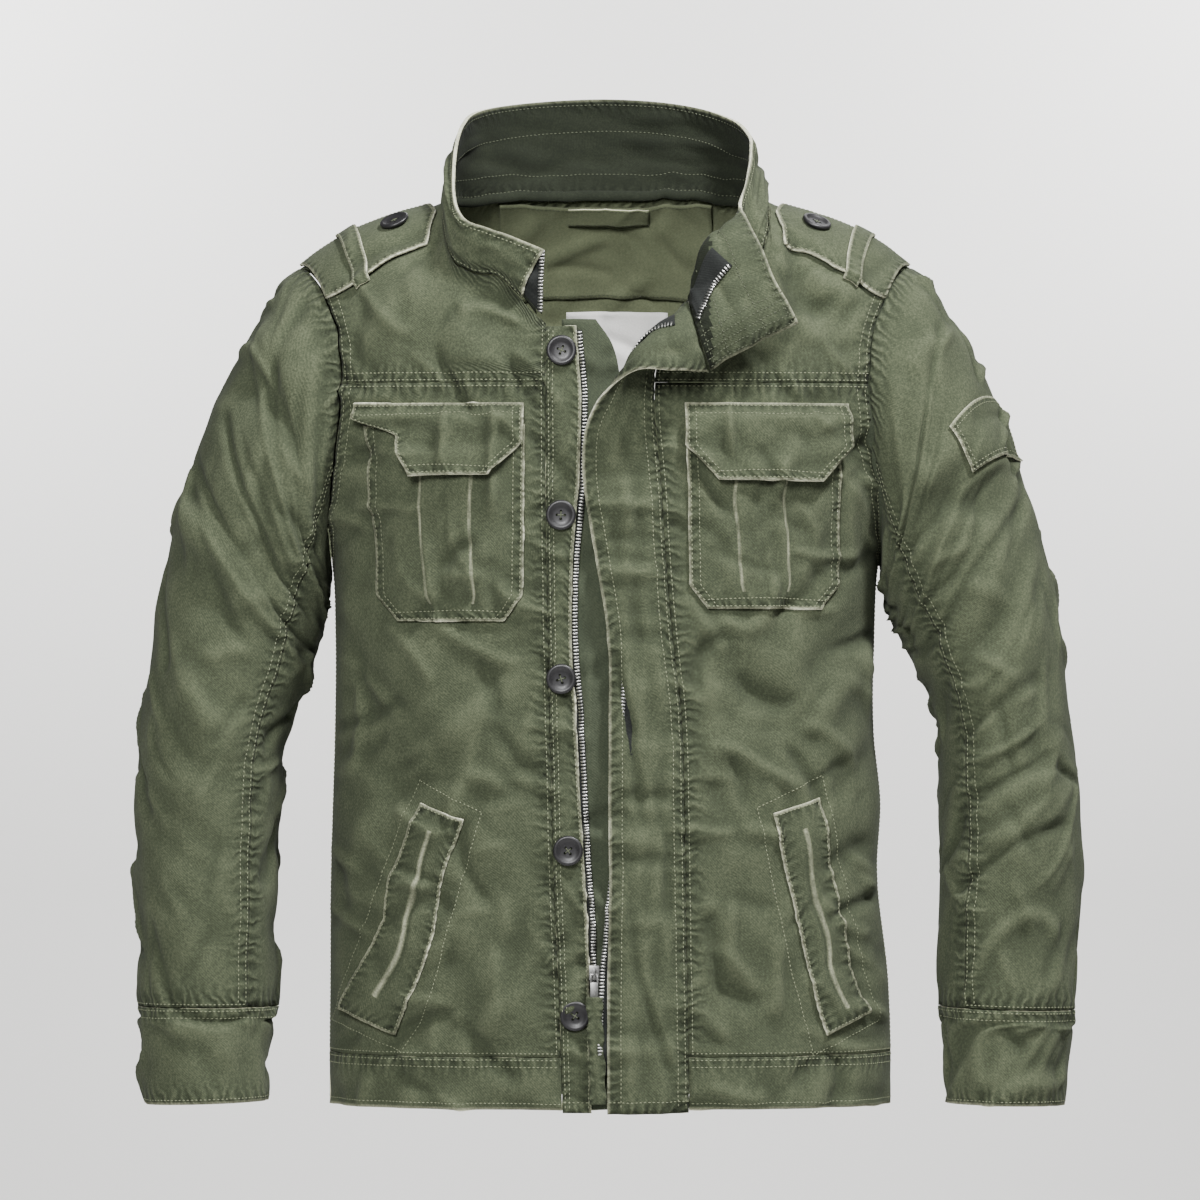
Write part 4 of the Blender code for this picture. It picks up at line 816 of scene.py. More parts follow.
def sleeve_ridge(place, turn, place0, turn0, place1, turn1, half_width, height):
    """Height of one fold of a sleeve, between two places down it and two turns round it."""
    line = (place0 * SLEEVE_STEP, turn0 * SLEEVE_REACH, place1 * SLEEVE_STEP, turn1 * SLEEVE_REACH)
    return ridge(place * SLEEVE_STEP, turn % 360 * SLEEVE_REACH, *line, half_width, height)


def sleeve(side_name, place, turn, out=0.0):
    """Points of a sleeve's cloth, with its folds and creases, moved out by so much."""
    place, turn = np.broadcast_arrays(np.asarray(place, float), np.asarray(turn, float))
    low = np.maximum(place - 0.05, 0.0)
    along = bare_sleeve(side_name, low + 0.1, turn) - bare_sleeve(side_name, low, turn)
    around = bare_sleeve(side_name, place, turn + 1) - bare_sleeve(side_name, place, turn - 1)
    normal = unit(np.cross(around, along)) * SIDES[side_name]
    rows = SLEEVE_FOLDS[side_name] + SLEEVE_BACK_FOLDS + SLEEVE_CREASES[side_name] + SLEEVE_BACK_CREASES
    fold = sum(sleeve_ridge(place, turn, *row) for row in rows)
    fold = fold * smooth_step(place * 2) * smooth_step((CUFF_SEAM_PLACE - place) * 2)
    fold = fold + sum(sleeve_ridge(place, turn, *row) for row in CUFF_CREASES[side_name])
    angle = np.radians(turn)
    spot = (SLEEVE_RADIUS * np.sin(angle), place * SLEEVE_STEP + 30 * np.cos(angle))
    creased = crumple(*spot, SLEEVE_CRUMPLE_SEED + SIDES[side_name], **SLEEVE_CRUMPLE)
    creased = creased + wrinkles(*spot, SLEEVE_WRINKLE_SEED + SIDES[side_name], **SLEEVE_WRINKLES)
    fold = fold + creased * smooth_step(place * 2)
    return bare_sleeve(side_name, place, turn) + times(fold + out, normal)


# %% The collar's and the fly placket's surfaces
def neck_point(position):
    """The neck seam: 0 at the middle back, 50 at a shoulder seam and 100 at a front edge."""
    position = np.asarray(position, float)
    side = np.where(position < 0, -1.0, 1.0)
    far = np.abs(position)
    back = BACK_TOP.at(0.54 * np.minimum(far, 50) / 50)
    behind = body(side * (180 - turn_at(back["x"], CAP_Z)), back["up"])
    share = 0.60 * (100 - np.maximum(far, 50)) / 50
    left, right = YOKE_TOP["left"].at(share), YOKE_TOP["right"].at(share)
    x = np.where(side < 0, left["x"], right["x"])
    up = np.minimum(np.where(side < 0, left["up"], right["up"]), CAP_RISE)
    ahead = body(turn_at(side * x, CAP_Z), up)
    return np.where((far <= 50)[..., None], behind, ahead)


def bare_fly(place, share):
    """The fly placket's smooth surface: share is 0 at its seam and 1 at its free edge."""
    row = FLY.at(place)
    weights = ((1 - share) * (1 - 2 * share), 4 * share * (1 - share), share * (2 * share - 1))
    total = 0.0
    for weight, name in zip(weights, ("seam", "mid", "free")):
        spot = front(row[name + "_x"], row[name + "_z"]) - stack(0.0, row[name + "_off"], 0.0)
        total = total + times(weight, spot)
    return total


def fly(place, share, out=0.0):
    """Points of the fly placket, moved out from its outer face by so much."""
    place, share = np.broadcast_arrays(np.asarray(place, float), np.asarray(share, float))
    before, after = np.maximum(place - 0.1, 0.0), np.minimum(place + 0.1, FLY.where[-1])
    along = bare_fly(after, share) - bare_fly(before, share)
    across = bare_fly(place, share - 0.05) - bare_fly(place, share + 0.05)
    return bare_fly(place, share) + times(out, unit(np.cross(across, along)))


def collar_edges(place):
    """The collar's seam and rim. Where it has fallen open its seam is the fly placket's top."""
    row = COLLAR.at(place)
    last = COLLAR.where[-1]
    open_share = np.clip((place - COLLAR_TURN_PLACE) / (last - COLLAR_TURN_PLACE), 0.0, 1.0)
    fallen = bare_fly(np.full_like(open_share, FLY.where[-1]), open_share)
    corner = bare_fly(np.array(FLY.where[-1]), np.array(0.0)) - neck_point(100.0)
    neck = neck_point(row["neck"]) + times(smooth_step(place - COLLAR_TURN_PLACE + 1), corner)
    base = np.where((place > COLLAR_TURN_PLACE)[..., None], fallen, neck)
    rim = stack(row["rim_x"], row["rim_y"], row["rim_z"])
    rise = rim - base + 4 * stack(row["roll_x"], row["roll_y"], row["roll_z"])
    lift = COLLAR_LIFT + COLLAR_OPEN_LIFT * smooth_step(place - COLLAR_TURN_PLACE + 1)
    return base + times(lift, unit(rise)), rim


def bare_collar(place, up):
    """The collar's smooth surface: place runs from the left front end round the neck, up from its seam."""
    base, rim = collar_edges(place)
    before = collar_edges(np.maximum(place - 0.1, 0.0))
    after = collar_edges(np.minimum(place + 0.1, COLLAR.where[-1]))
    ahead = times(1 - up, after[0] - before[0]) + times(up, after[1] - before[1])
    face = unit(np.cross(rim - base, ahead))
    row = COLLAR.at(place)
    swell = times(row["bow"], face) + stack(row["roll_x"], row["roll_y"], row["roll_z"])
    return base + times(up, rim - base) + times(4 * up * (1 - up), swell)


def collar(place, up, out=0.0):
    """Points of the collar, moved out from its outer face by so much."""
    place, up = np.broadcast_arrays(np.asarray(place, float), np.asarray(up, float))
    before, after = np.maximum(place - 0.1, 0.0), np.minimum(place + 0.1, COLLAR.where[-1])
    ahead = bare_collar(after, up) - bare_collar(before, up)
    rise = bare_collar(place, up + 0.04) - bare_collar(place, up - 0.04)
    fold = crumple(place * 22, up * 80, **COLLAR_CRUMPLE) + wrinkles(place * 16, up * 100, **COLLAR_WRINKLES)
    fold = fold * smooth_step(4 * up) * smooth_step(5 * (1 - up))
    return bare_collar(place, up) + times(out + fold, unit(np.cross(rise, ahead)))


print("armpit", np.round(armhole(1, np.array(180.0)), 1))
print("collar rim behind", np.round(collar(np.array(10.0), np.array(1.0)), 1))

# %% [markdown]
# ## Finishes
# The twill is garment washed cotton: matt, a little mottled, and paler on every edge that has rubbed. Its
# crests are painted paler too, partly as wear and partly as painted highlight, and its troughs and puckered
# seams are painted darker, as painted shade. The pieces carry that as numbers at their points, worked out
# from their own form, so the wear and the painted shade follow the folds. A painted picture could do the
# same; numbers at points need no file and stay sharp.

# %% Colours, objects and one helper for nodes
def linear(code):
    """A colour for a shader from its hex code."""
    values = [int(code[place : place + 2], 16) / 255 for place in (1, 3, 5)]
    bright = [value / 12.92 if value < 0.0405 else ((value + 0.055) / 1.055) ** 2.4 for value in values]
    return (*bright, 1.0)


def add_object(name, data):
    """A new object for this mesh, lamp or camera, put in the scene."""
    made = bpy.data.objects.new(name, data)
    bpy.context.scene.collection.objects.link(made)
    return made


def add_node(tree, kind, inputs=None, **settings):
    """Adds one node. Inputs are set by name or number, to a value or to another node's output."""
    node = tree.nodes.new(kind)
    for name, value in settings.items():
        setattr(node, name, value)
    for name, value in (inputs or {}).items():
        if isinstance(value, bpy.types.NodeSocket):
            tree.links.new(value, node.inputs[name])
        else:
            node.inputs[name].default_value = value
    return node


def maths(tree, operation, *values):
    """The result of one sum, which keeps the longer recipes below on single lines."""
    return add_node(tree, "ShaderNodeMath", dict(enumerate(values)), operation=operation).outputs[0]


# %% Washed cotton twill, plain cloth and tape
CLOTH_ROUGH = 0.9
BUMP_DEPTH = 0.00022


def new_material(name):
    """A new material, with its node tree and its shader."""
    made = bpy.data.materials.new(name)
    made.use_nodes = True
    return made, made.node_tree, made.node_tree.nodes["Principled BSDF"]


def cloth_finish(name, dark, middle, light, worn, sheen=0.02, wear_and_shade=1.0, ribs=0.0016):
    """Woven cotton, dyed and washed: tones from the troughs to the crests, and that of a rubbed edge. The
    troughs and the bands beside puckered seams are painted darker, as painted shade; the crests are painted
    paler, partly as wear and partly as painted highlight.
    """
    made, tree, shader = new_material(name)
    shader.inputs["Roughness"].default_value = CLOTH_ROUGH
    shader.inputs["Sheen Weight"].default_value = sheen
    shader.inputs["Sheen Roughness"].default_value = 0.6
    shader.inputs["Specular IOR Level"].default_value = 0.16

    spot = add_node(tree, "ShaderNodeTexCoord").outputs["Object"]
    cut = add_node(tree, "ShaderNodeUVMap", uv_map="cut").outputs["UV"]
    relief = add_node(tree, "ShaderNodeAttribute", attribute_name="relief").outputs["Fac"]
    edge = add_node(tree, "ShaderNodeAttribute", attribute_name="edge").outputs["Fac"]
    side = add_node(tree, "ShaderNodeAttribute", attribute_name="pucker_side").outputs["Fac"]
    end = add_node(tree, "ShaderNodeAttribute", attribute_name="pucker_end").outputs["Fac"]

    clouds = {"Vector": spot, "Scale": 34, "Detail": 5, "Roughness": 0.6}
    specks = {"Vector": spot, "Scale": 620, "Detail": 3, "Roughness": 0.7}
    cloudy = add_node(tree, "ShaderNodeTexNoise", clouds).outputs["Fac"]
    speck = add_node(tree, "ShaderNodeTexNoise", specks).outputs["Fac"]
    sway = add_node(tree, "ShaderNodeTexNoise", {"Vector": spot, "Scale": 60, "Detail": 2}).outputs["Fac"]

    # Puckers run out from a row of stitches that has drawn up, and fade away from it.
    parts = add_node(tree, "ShaderNodeSeparateXYZ", {"Vector": cut})
    turns = 2 * math.pi / (PUCKER_PITCH * MM)
    drift = maths(tree, "MULTIPLY", sway, 16.0)
    down = maths(tree, "SINE", maths(tree, "MULTIPLY_ADD", parts.outputs["Y"], turns, drift))
    along = maths(tree, "SINE", maths(tree, "MULTIPLY_ADD", parts.outputs["X"], turns, drift))
    pucker = maths(tree, "MULTIPLY_ADD", along, end, maths(tree, "MULTIPLY", down, side))

    # Twill ribs at 45 degrees, drawn about three times coarser than real ones so that they show at all.
    slant = maths(tree, "ADD", parts.outputs["X"], parts.outputs["Y"])
    rib = maths(tree, "SINE", maths(tree, "MULTIPLY", slant, 4.44 / ribs))

    tone = maths(tree, "MULTIPLY_ADD", maths(tree, "SUBTRACT", cloudy, 0.5), 0.24, 0.53)
    tone = maths(tree, "MULTIPLY_ADD", maths(tree, "SUBTRACT", speck, 0.5), 0.72, tone)
    # The relief pales the crests, partly as wear and partly as painted highlight, and darkens the troughs, as
    # painted shade.
    tone = maths(tree, "MULTIPLY_ADD", relief, 0.03 * wear_and_shade, tone)
    # The puckers are painted paler on their crests and darker between them, as painted highlight and shade,
    # partly wear; the bands beside puckered seams are painted darker, as painted shade.
    tone = maths(tree, "MULTIPLY_ADD", pucker, 0.16 * wear_and_shade, tone)
    tone = maths(tree, "MULTIPLY_ADD", maths(tree, "ADD", side, end), -0.11 * wear_and_shade, tone)
    tone = maths(tree, "MULTIPLY_ADD", rib, 0.03, tone)
    ramp = add_node(tree, "ShaderNodeValToRGB", {"Fac": tone})
    stops = ramp.color_ramp.elements
    stops[0].position, stops[0].color = 0.08, linear(dark)
    stops[1].position, stops[1].color = 0.95, linear(light)
    mid = stops.new(0.5)
    mid.color = linear(middle)

    # An edge is rubbed pale within 2.6 mm, here more and there less.
    reach = {"Value": edge, "From Min": 2.6, "From Max": 0.2}
    uneven = {"Value": cloudy, "From Min": 0.36, "From Max": 0.58, "To Min": 0.45}
    rubbed = add_node(tree, "ShaderNodeMapRange", reach).outputs["Result"]
    patchy = add_node(tree, "ShaderNodeMapRange", uneven).outputs["Result"]
    rubbed = maths(tree, "MULTIPLY", rubbed, patchy)
    rubbed = maths(tree, "MULTIPLY", rubbed, maths(tree, "MULTIPLY", speck, 1.5 * wear_and_shade))
    rubbed = add_node(tree, "ShaderNodeClamp", {"Value": rubbed}).outputs["Result"]
    blend = {"Factor": rubbed, "A": ramp.outputs["Color"], "B": linear(worn)}
    colour = add_node(tree, "ShaderNodeMix", blend, data_type="RGBA")
    tree.links.new(colour.outputs["Result"], shader.inputs["Base Color"])

    height = maths(tree, "MULTIPLY_ADD", pucker, 2.6, maths(tree, "MULTIPLY", rib, 0.16))
    height = maths(tree, "MULTIPLY_ADD", speck, 1.7, height)
    height = maths(tree, "MULTIPLY_ADD", cloudy, 1.2, height)
    bump = add_node(tree, "ShaderNodeBump", {"Height": height, "Distance": BUMP_DEPTH, "Strength": 1.0})
    tree.links.new(bump.outputs["Normal"], shader.inputs["Normal"])
    return made


def plain_finish(name, colour, rough, metal=0.0, spotty=0.0):
    """A moulded or metal piece. Slight unevenness in its roughness keeps it from looking new."""
    made, tree, shader = new_material(name)
    shader.inputs["Base Color"].default_value = linear(colour)
    shader.inputs["Metallic"].default_value = metal
    shader.inputs["Roughness"].default_value = rough
    if spotty:
        spot = add_node(tree, "ShaderNodeTexCoord").outputs["Object"]
        grains = {"Vector": spot, "Scale": 900, "Detail": 2}
        grain = add_node(tree, "ShaderNodeTexNoise", grains).outputs["Fac"]
        uneven = maths(tree, "MULTIPLY_ADD", maths(tree, "SUBTRACT", grain, 0.5), spotty, rough)
        tree.links.new(uneven, shader.inputs["Roughness"])
    return made


TWILL = cloth_finish("washed_cotton_twill", "#171B12", "#3A4030", "#636952", "#A0A289")
TWILL_INSIDE = cloth_finish("cotton_twill_wrong_side", "#22261D", "#343A2D", "#4B5140", "#7C7F69", wear_and_shade=0.6)
WORN_RIM = cloth_finish("worn_twill_edge", "#77795F", "#A2A386", "#C9C9AE", "#D2D2B8", sheen=0.2)
# The rims of cut edges inside seams, and the allowances behind them, are painted dark: painted shade in the
# crevices between pieces.
SHADED_RIM = cloth_finish("twill_edge_painted_shade", "#363A2C", "#555A46", "#73775F", "#8C8F77")
DARK_TAPE = cloth_finish("woven_polyester_tape", "#121413", "#1C1E1D", "#2B2D2B", "#343634", wear_and_shade=0.3)
LABEL_CLOTH = cloth_finish(
    "white_woven_label", "#C9C8C4", "#DEDDD9", "#EDECE9", "#F2F1EE", wear_and_shade=0.2, ribs=0.0012
)
# The collar's inner face and the turned-in edges at the neck are painted near black: painted shade where the
# collar's walls keep the light out.
COLLAR_INSIDE_SHADE = cloth_finish(
    "cotton_twill_collar_inside_painted_shade", "#0E110B", "#181C13", "#292E22", "#6E715B", wear_and_shade=0.8
)
# The wrong side inside the back and the neck is painted paler than the same wrong side elsewhere: painted
# light, where the lamps reach it too little.
BACK_INSIDE_LIT = cloth_finish(
    "cotton_twill_wrong_side_painted_light", "#3A402F", "#5C624B", "#757B60", "#A0A288", wear_and_shade=0.7
)
THREAD = plain_finish("cotton_thread", "#757A61", 0.8)
DARK_THREAD = plain_finish("cotton_thread_in_shade", "#4A4F3D", 0.8)
BUTTON_PLASTIC = plain_finish("moulded_polyester", "#171618", 0.42, spotty=0.25)
TOOTH_METAL = plain_finish("tumbled_nickel_brass", "#A9A9A6", 0.34, metal=1.0, spotty=0.3)
PULL_METAL = plain_finish("plated_zinc_casting", "#8E8E8C", 0.4, metal=1.0, spotty=0.3)
print("finishes", len(bpy.data.materials))

# %% [markdown]
# ## Cloth
# A piece is a grid of points laid on its surface, then given its thickness. Four facts are kept at each
# point: how far it is from the nearest rubbed edge, how much it stands proud of its surroundings, and how
# strongly the seams at its sides and at its ends pucker it. Its UV map is the cut itself in metres, so
# weave and puckers have one scale on every piece.

# %% One piece of cloth
SHEETS = []
PIECES = {}
# Distance to a rubbed edge where there is none, in millimetres, and rounds of softening that find the
# relief.
FAR, RELIEF_ROUNDS, RELIEF_SCALE = 99.0, 14, 2.2


def spread(values):
    """Distances along the grid from the first line of points, for every line at once."""
    steps = np.linalg.norm(np.diff(values, axis=0), axis=-1)
    return np.concatenate([np.zeros((1,) + steps.shape[1:]), np.cumsum(steps, axis=0)])


def softened(values, rounds):
    """Values averaged with their neighbours on the grid, again and again."""
    rim = ((1, 1), (1, 1)) + ((0, 0),) * (values.ndim - 2)
    for _ in range(rounds):
        padded = np.pad(values, rim, mode="reflect", reflect_type="odd")
        values = (padded[:-2, 1:-1] + padded[2:, 1:-1] + padded[1:-1, :-2] + padded[1:-1, 2:]) / 4
    return values


def grid_normals(points):
    """Unit normals of a grid of points, from the lines that cross at each."""
    return unit(np.cross(np.gradient(points, axis=1), np.gradient(points, axis=0)))


class Laid:
    """The points of a piece as they were laid, read between them in straight lines, just as its faces run."""

    def __init__(self, points, normals):
        self.points, self.normals = points, normals

    def read(self, values, across, up):
        rows, columns = values.shape[0] - 1, values.shape[1] - 1
        x, y = np.clip(across, 0, 1) * columns, np.clip(up, 0, 1) * rows
        column = np.minimum(x.astype(int), columns - 1)
        row = np.minimum(y.astype(int), rows - 1)
        low = between(values[row, column], values[row, column + 1], (x - column)[..., None])
        high = between(values[row + 1, column], values[row + 1, column + 1], (x - column)[..., None])
        return between(low, high, (y - row)[..., None])

    def at(self, across, up):
        return self.read(self.points, across, up)

    def facing(self, across, up):
        return unit(self.read(self.normals, across, up))


def near(distance, reach):
    return np.exp(-((distance / reach) ** 2))


def pieces_along(length, pitch):
    return max(2, int(round(length / pitch)))


def cloth(
    name,
    surface,
    thick,
    pitch=3.4,
    body_name="jacket",
    stands_for=None,
    finish="olive_twill",
    looks=None,
    puckers="",
    pucker_reach=11.0,
    free_edges="",
    worn_lines=None,
):
    """Makes, measures and declares one piece. surface(across, up) gives its outer face in millimetres.

    puckers and free_edges name sides: l and r are where across is 0 and 1, b and t where up is 0 and 1.
    """
    share = np.linspace(0, 1, 9)
    trial = surface(*np.meshgrid(share, share))
    columns = pieces_along(spread(trial.swapaxes(0, 1))[-1].max(), pitch)
    rows = pieces_along(spread(trial)[-1].max(), pitch)
    grid = bmesh.new()
    bmesh.ops.create_grid(grid, x_segments=columns, y_segments=rows, size=0.5)
    mesh = bpy.data.meshes.new(name)
    grid.to_mesh(mesh)
    grid.free()
    count = len(mesh.vertices)
    flat = np.empty(count * 3)
    mesh.vertices.foreach_get("co", flat)
    flat = flat.reshape(-1, 3) + 0.5
    order = np.lexsort((np.round(flat[:, 0] * columns), np.round(flat[:, 1] * rows)))
    across, up = flat[order, 0].reshape(rows + 1, columns + 1), flat[order, 1].reshape(rows + 1, columns + 1)
    points = surface(across, up)
    normals = grid_normals(points)

    wide, tall = spread(points.swapaxes(0, 1)).swapaxes(0, 1), spread(points)
    sides = {"l": wide, "r": wide[:, -1:] - wide, "b": tall, "t": tall[-1:] - tall}
    far = np.full(wide.shape, FAR) if worn_lines is None else worn_lines(across, up)
    proud = np.sum((points - softened(points, RELIEF_ROUNDS)) * normals, axis=-1)

    def puckered(names):
        """How strongly the seams on these sides pucker each point."""
        return np.maximum.reduce([near(sides[s], pucker_reach) for s in names if s in puckers] + [0 * far])

    facts = {
        "edge": np.minimum.reduce([sides[side] for side in free_edges] + [far]),
        "relief": np.clip(proud * RELIEF_SCALE, -3, 3),
        "pucker_side": puckered("lr"),
        "pucker_end": puckered("bt"),
    }
    placed = np.empty((count, 3))
    placed[order] = points.reshape(-1, 3) * MM
    mesh.vertices.foreach_set("co", placed.ravel())
    for fact, values in facts.items():
        layer = mesh.attributes.new(fact, "FLOAT", "POINT")
        stored = np.empty(count)
        stored[order] = values.ravel()
        layer.data.foreach_set("value", stored)
    cut = np.empty((count, 2))
    cut[order] = np.stack([wide, tall], axis=-1).reshape(-1, 2) * MM
    corners = np.empty(len(mesh.loops), np.int32)
    mesh.loops.foreach_get("vertex_index", corners)
    mesh.uv_layers.new(name="cut").data.foreach_set("uv", cut[corners].ravel())
    # A wall grows on the side that the mesh's normals point away from, so they follow the surface's own.
    if np.dot(mesh.polygons[0].normal, normals[0, 0]) < 0:
        mesh.flip_normals()
    mesh.shade_smooth()
    for material in looks or (TWILL, TWILL_INSIDE, WORN_RIM if free_edges else SHADED_RIM):
        mesh.materials.append(material)
    piece = add_object(name, mesh)
    shell = piece.modifiers.new("Thickness", "SOLIDIFY")
    shell.thickness = thick * MM
    shell.offset = -1
    shell.material_offset = 1
    shell.material_offset_rim = 2
    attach(piece, body_name)
    for node in [name] if stands_for is None else stands_for:
        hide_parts(node)

    steps_across, steps_up = np.diff(points, axis=1)[:-1], np.diff(points, axis=0)[:, :-1]
    square = np.linalg.norm(np.cross(steps_across, steps_up), axis=-1).sum()
    width, length = wide[:, -1].max() * MM, tall[-1].max() * MM
    area = min(square * MM * MM, width * length)
    SHEETS.append((name, width, length, area, 4 * columns * rows))
    PIECES[name] = Laid(points, normals)
    return piece


# %% [markdown]
# ## Body panels
# Two fronts and a back, each cut off at a yoke seam above and a hem band below, as on most field jackets.
# Their edges share one line with a hair's gap, as two panels do that meet in a seam.

# %% Fronts
UPPER_LOW = YOKE_SEAM_Z + SEAM_GAP / 2 - CAP_Z
SIDE_SEAM_TURN = 0.09
FLY_PLACES = np.linspace(0, FLY.where[-1], 60)
FLY_SEAM = FLY.at(FLY_PLACES)


def front_opening(side, z):
    """X of a front's inner edge at these heights."""
    if side > 0:
        return np.interp(z, FLY_SEAM["seam_z"], FLY_SEAM["seam_x"]) + SEAM_GAP
    return PLACKET.at(z)["seam_x"] - SEAM_GAP


def one_way(side, across):
    """Share across as it runs on the viewer's right, or the other way round on the left."""
    return across if side > 0 else 1 - across


def front_panel(side):
    def surface(across, up):
        z = between(HEM_SEAM_Z + SEAM_GAP, YOKE_SEAM_Z - SEAM_GAP / 2, up)
        end = edge_turn(side, z - CAP_Z) - side * SIDE_SEAM_TURN
        turn = between(turn_at(front_opening(side, z), z), end, one_way(side, across))
        return body(turn, z - CAP_Z)

    return surface


def yoke_spread(side, share, up, top, foot_start, front_edge):
    """X of a yoke's points, between its foot and its top edge."""
    half = BODY.at(CAP_Z)["right" if side > 0 else "left"]
    foot_end = half * np.minimum(ARMHOLE.at(UPPER_LOW)["share"], 1.0)
    top_end = half * ARMHOLE.at(CAP_RISE)["share"]
    edge = half * np.minimum(ARMHOLE.at(between(UPPER_LOW, CAP_RISE, up))["share"], 1.0)
    x = between(between(foot_start, foot_end, share), top["x"], up)
    return x + share**2 * (edge - between(foot_end, top_end, up)) + (1 - share) ** 3 * front_edge


def yoke_panel(side):
    table = YOKE_TOP["left" if side < 0 else "right"]
    foot_start = abs(front_opening(side, YOKE_SEAM_Z))
    top_start = table.at(0)["x"] + SEAM_GAP
    corner_z = bare_body(turn_at(table.at(0)["x"], CAP_Z), table.at(0)["up"])[2]

    def surface(across, up):
        share = one_way(side, across)
        top = table.at(share)
        height = between(UPPER_LOW, np.minimum(top["up"], CAP_RISE - SEAM_GAP / 2), up)
        front_edge = np.abs(front_opening(side, between(YOKE_SEAM_Z, corner_z, up)))
        front_edge = front_edge - between(foot_start, top_start, up)
        x = yoke_spread(side, share, up, top, foot_start, front_edge)
        return body(turn_at(side * x, CAP_Z), height)

    return surface


def hem_front(side):
    def surface(across, up):
        z = between(HEM_Z, HEM_SEAM_Z, up)
        start = turn_at(front_opening(side, z), z)
        turn = between(start, side * (90 - SIDE_SEAM_TURN), one_way(side, across))
        flip = 2.2 * near(up, 0.45) * crumple(turn * 3, z, **HEM_CRUMPLE)
        return body(turn, z - CAP_Z, HEM_PROUD + flip)

    return surface


for side_name, side in SIDES.items():
    cloth(f"front_{side_name}", front_panel(side), CLOTH, puckers="lrt")
    cloth(f"yoke_front_{side_name}", yoke_panel(side), CLOTH, puckers="lrbt")
    cloth(f"hem_front_{side_name}", hem_front(side), DOUBLE_CLOTH, puckers="t", free_edges="b")
print("fronts", PIECES["front_left"].points.shape, PIECES["front_right"].points.shape)

# %% Back
def back_turn(x):
    turn = 180 - turn_at(np.abs(x), CAP_Z)
    return np.where(x >= 0, turn, 360 - turn)


def back_panel(across, up):
    z = between(HEM_SEAM_Z + SEAM_GAP, YOKE_SEAM_Z - SEAM_GAP / 2, up)
    edge = edge_turn(1, z - CAP_Z)
    return body(between(180 - edge + SIDE_SEAM_TURN, 180 + edge - SIDE_SEAM_TURN, across), z - CAP_Z)


def back_yoke(across, up):
    side = np.where(across < 0.5, 1, -1)
    share = np.abs(1 - 2 * across)
    top = BACK_TOP.at(share)
    height = between(UPPER_LOW, np.minimum(top["up"], CAP_RISE - SEAM_GAP / 2), up)
    right, left = yoke_spread(1, share, up, top, 0.0, 0.0), yoke_spread(-1, share, up, top, 0.0, 0.0)
    x = np.where(side > 0, right, left)
    return body(back_turn(side * x), height)


def hem_back(across, up):
    z = between(HEM_Z, HEM_SEAM_Z, up)
    turn = between(90 + SIDE_SEAM_TURN, 270 - SIDE_SEAM_TURN, across)
    return body(turn, z - CAP_Z, HEM_PROUD)


# The back's inner face is painted paler, as painted light seen through the neck.
behind_looks = (TWILL, BACK_INSIDE_LIT, SHADED_RIM)
cloth("back", back_panel, CLOTH, pitch=5, puckers="lrt", looks=behind_looks)
cloth("yoke_back", back_yoke, CLOTH, pitch=5, puckers="lrbt", looks=behind_looks)
cloth("hem_back", hem_back, DOUBLE_CLOTH, pitch=5, puckers="t", free_edges="b")


def hem_allowance(across, up):
    """The turned-in edges behind the hem seam, from one front opening round the back to the other."""
    z = between(HEM_SEAM_Z - 5, HEM_SEAM_Z + 5, up)
    first = turn_at(front_opening(1, z), z) + 2
    last = 360 + turn_at(front_opening(-1, z), z) - 2
    return body(between(first, last, across), z - CAP_Z, -(DOUBLE_CLOTH + ALLOWANCE_GAP))


# The allowances' outer faces and rims are painted dark, as painted shade behind the seams.
hidden_looks = (SHADED_RIM, TWILL_INSIDE, SHADED_RIM)
cloth("hem_allowance", hem_allowance, ALLOWANCE, pitch=4, stands_for=(), looks=hidden_looks)

# %% [markdown]
# ## Sleeves
# A two-piece sleeve: a broad upper piece and a narrow under piece, joined by seams in front and behind,
# with a separate cuff. The cuff is one closed band, so its ends are merged.

# %% Sleeves and cuffs
def sleeve_piece(side_name, first, last, start, end, proud=0.0):
    def surface(across, up):
        share = one_way(-SIDES[side_name], across)
        return sleeve(side_name, between(last, first, up), between(start, end, share), proud)

    return surface


SLEEVE_SEAM_TURN = 0.35
UPPER_TURNS = (BACK_SEAM_TURN - 360 + SLEEVE_SEAM_TURN, FRONT_SEAM_TURN - SLEEVE_SEAM_TURN)
for side_name in SIDES:
    upper = sleeve_piece(side_name, 0.0, CUFF_SEAM_PLACE, *UPPER_TURNS)
    cloth(f"sleeve_upper_{side_name}", upper, CLOTH, puckers="lrbt", pucker_reach=13.0)
    under = sleeve_piece(side_name, 0.0, CUFF_SEAM_PLACE, FRONT_SEAM_TURN, BACK_SEAM_TURN)
    cloth(f"sleeve_under_{side_name}", under, CLOTH, pitch=4, puckers="lrbt")
    band = sleeve_piece(side_name, CUFF_SEAM_PLACE + 0.02, CUFF_PLACE, -170, 190, HEM_PROUD)
    cuff = cloth(f"cuff_{side_name}", band, DOUBLE_CLOTH, puckers="bt", free_edges="b")
    joined = bmesh.new()
    joined.from_mesh(cuff.data)
    bmesh.ops.remove_doubles(joined, verts=joined.verts, dist=0.00001)
    joined.to_mesh(cuff.data)
    joined.free()


def armhole_allowance(side_name):
    """The turned-in edges behind an armhole seam, which keep light from showing through it."""
    side = SIDES[side_name]

    def surface(across, up):
        turn = 360 * up
        inner = armhole(side, turn, out=-(CLOTH + ALLOWANCE_GAP), past=-6 * side)
        outer = sleeve(side_name, np.full_like(turn, 0.16), turn, -(CLOTH + ALLOWANCE_GAP))
        return between(inner, outer, one_way(side, across)[..., None])

    return surface


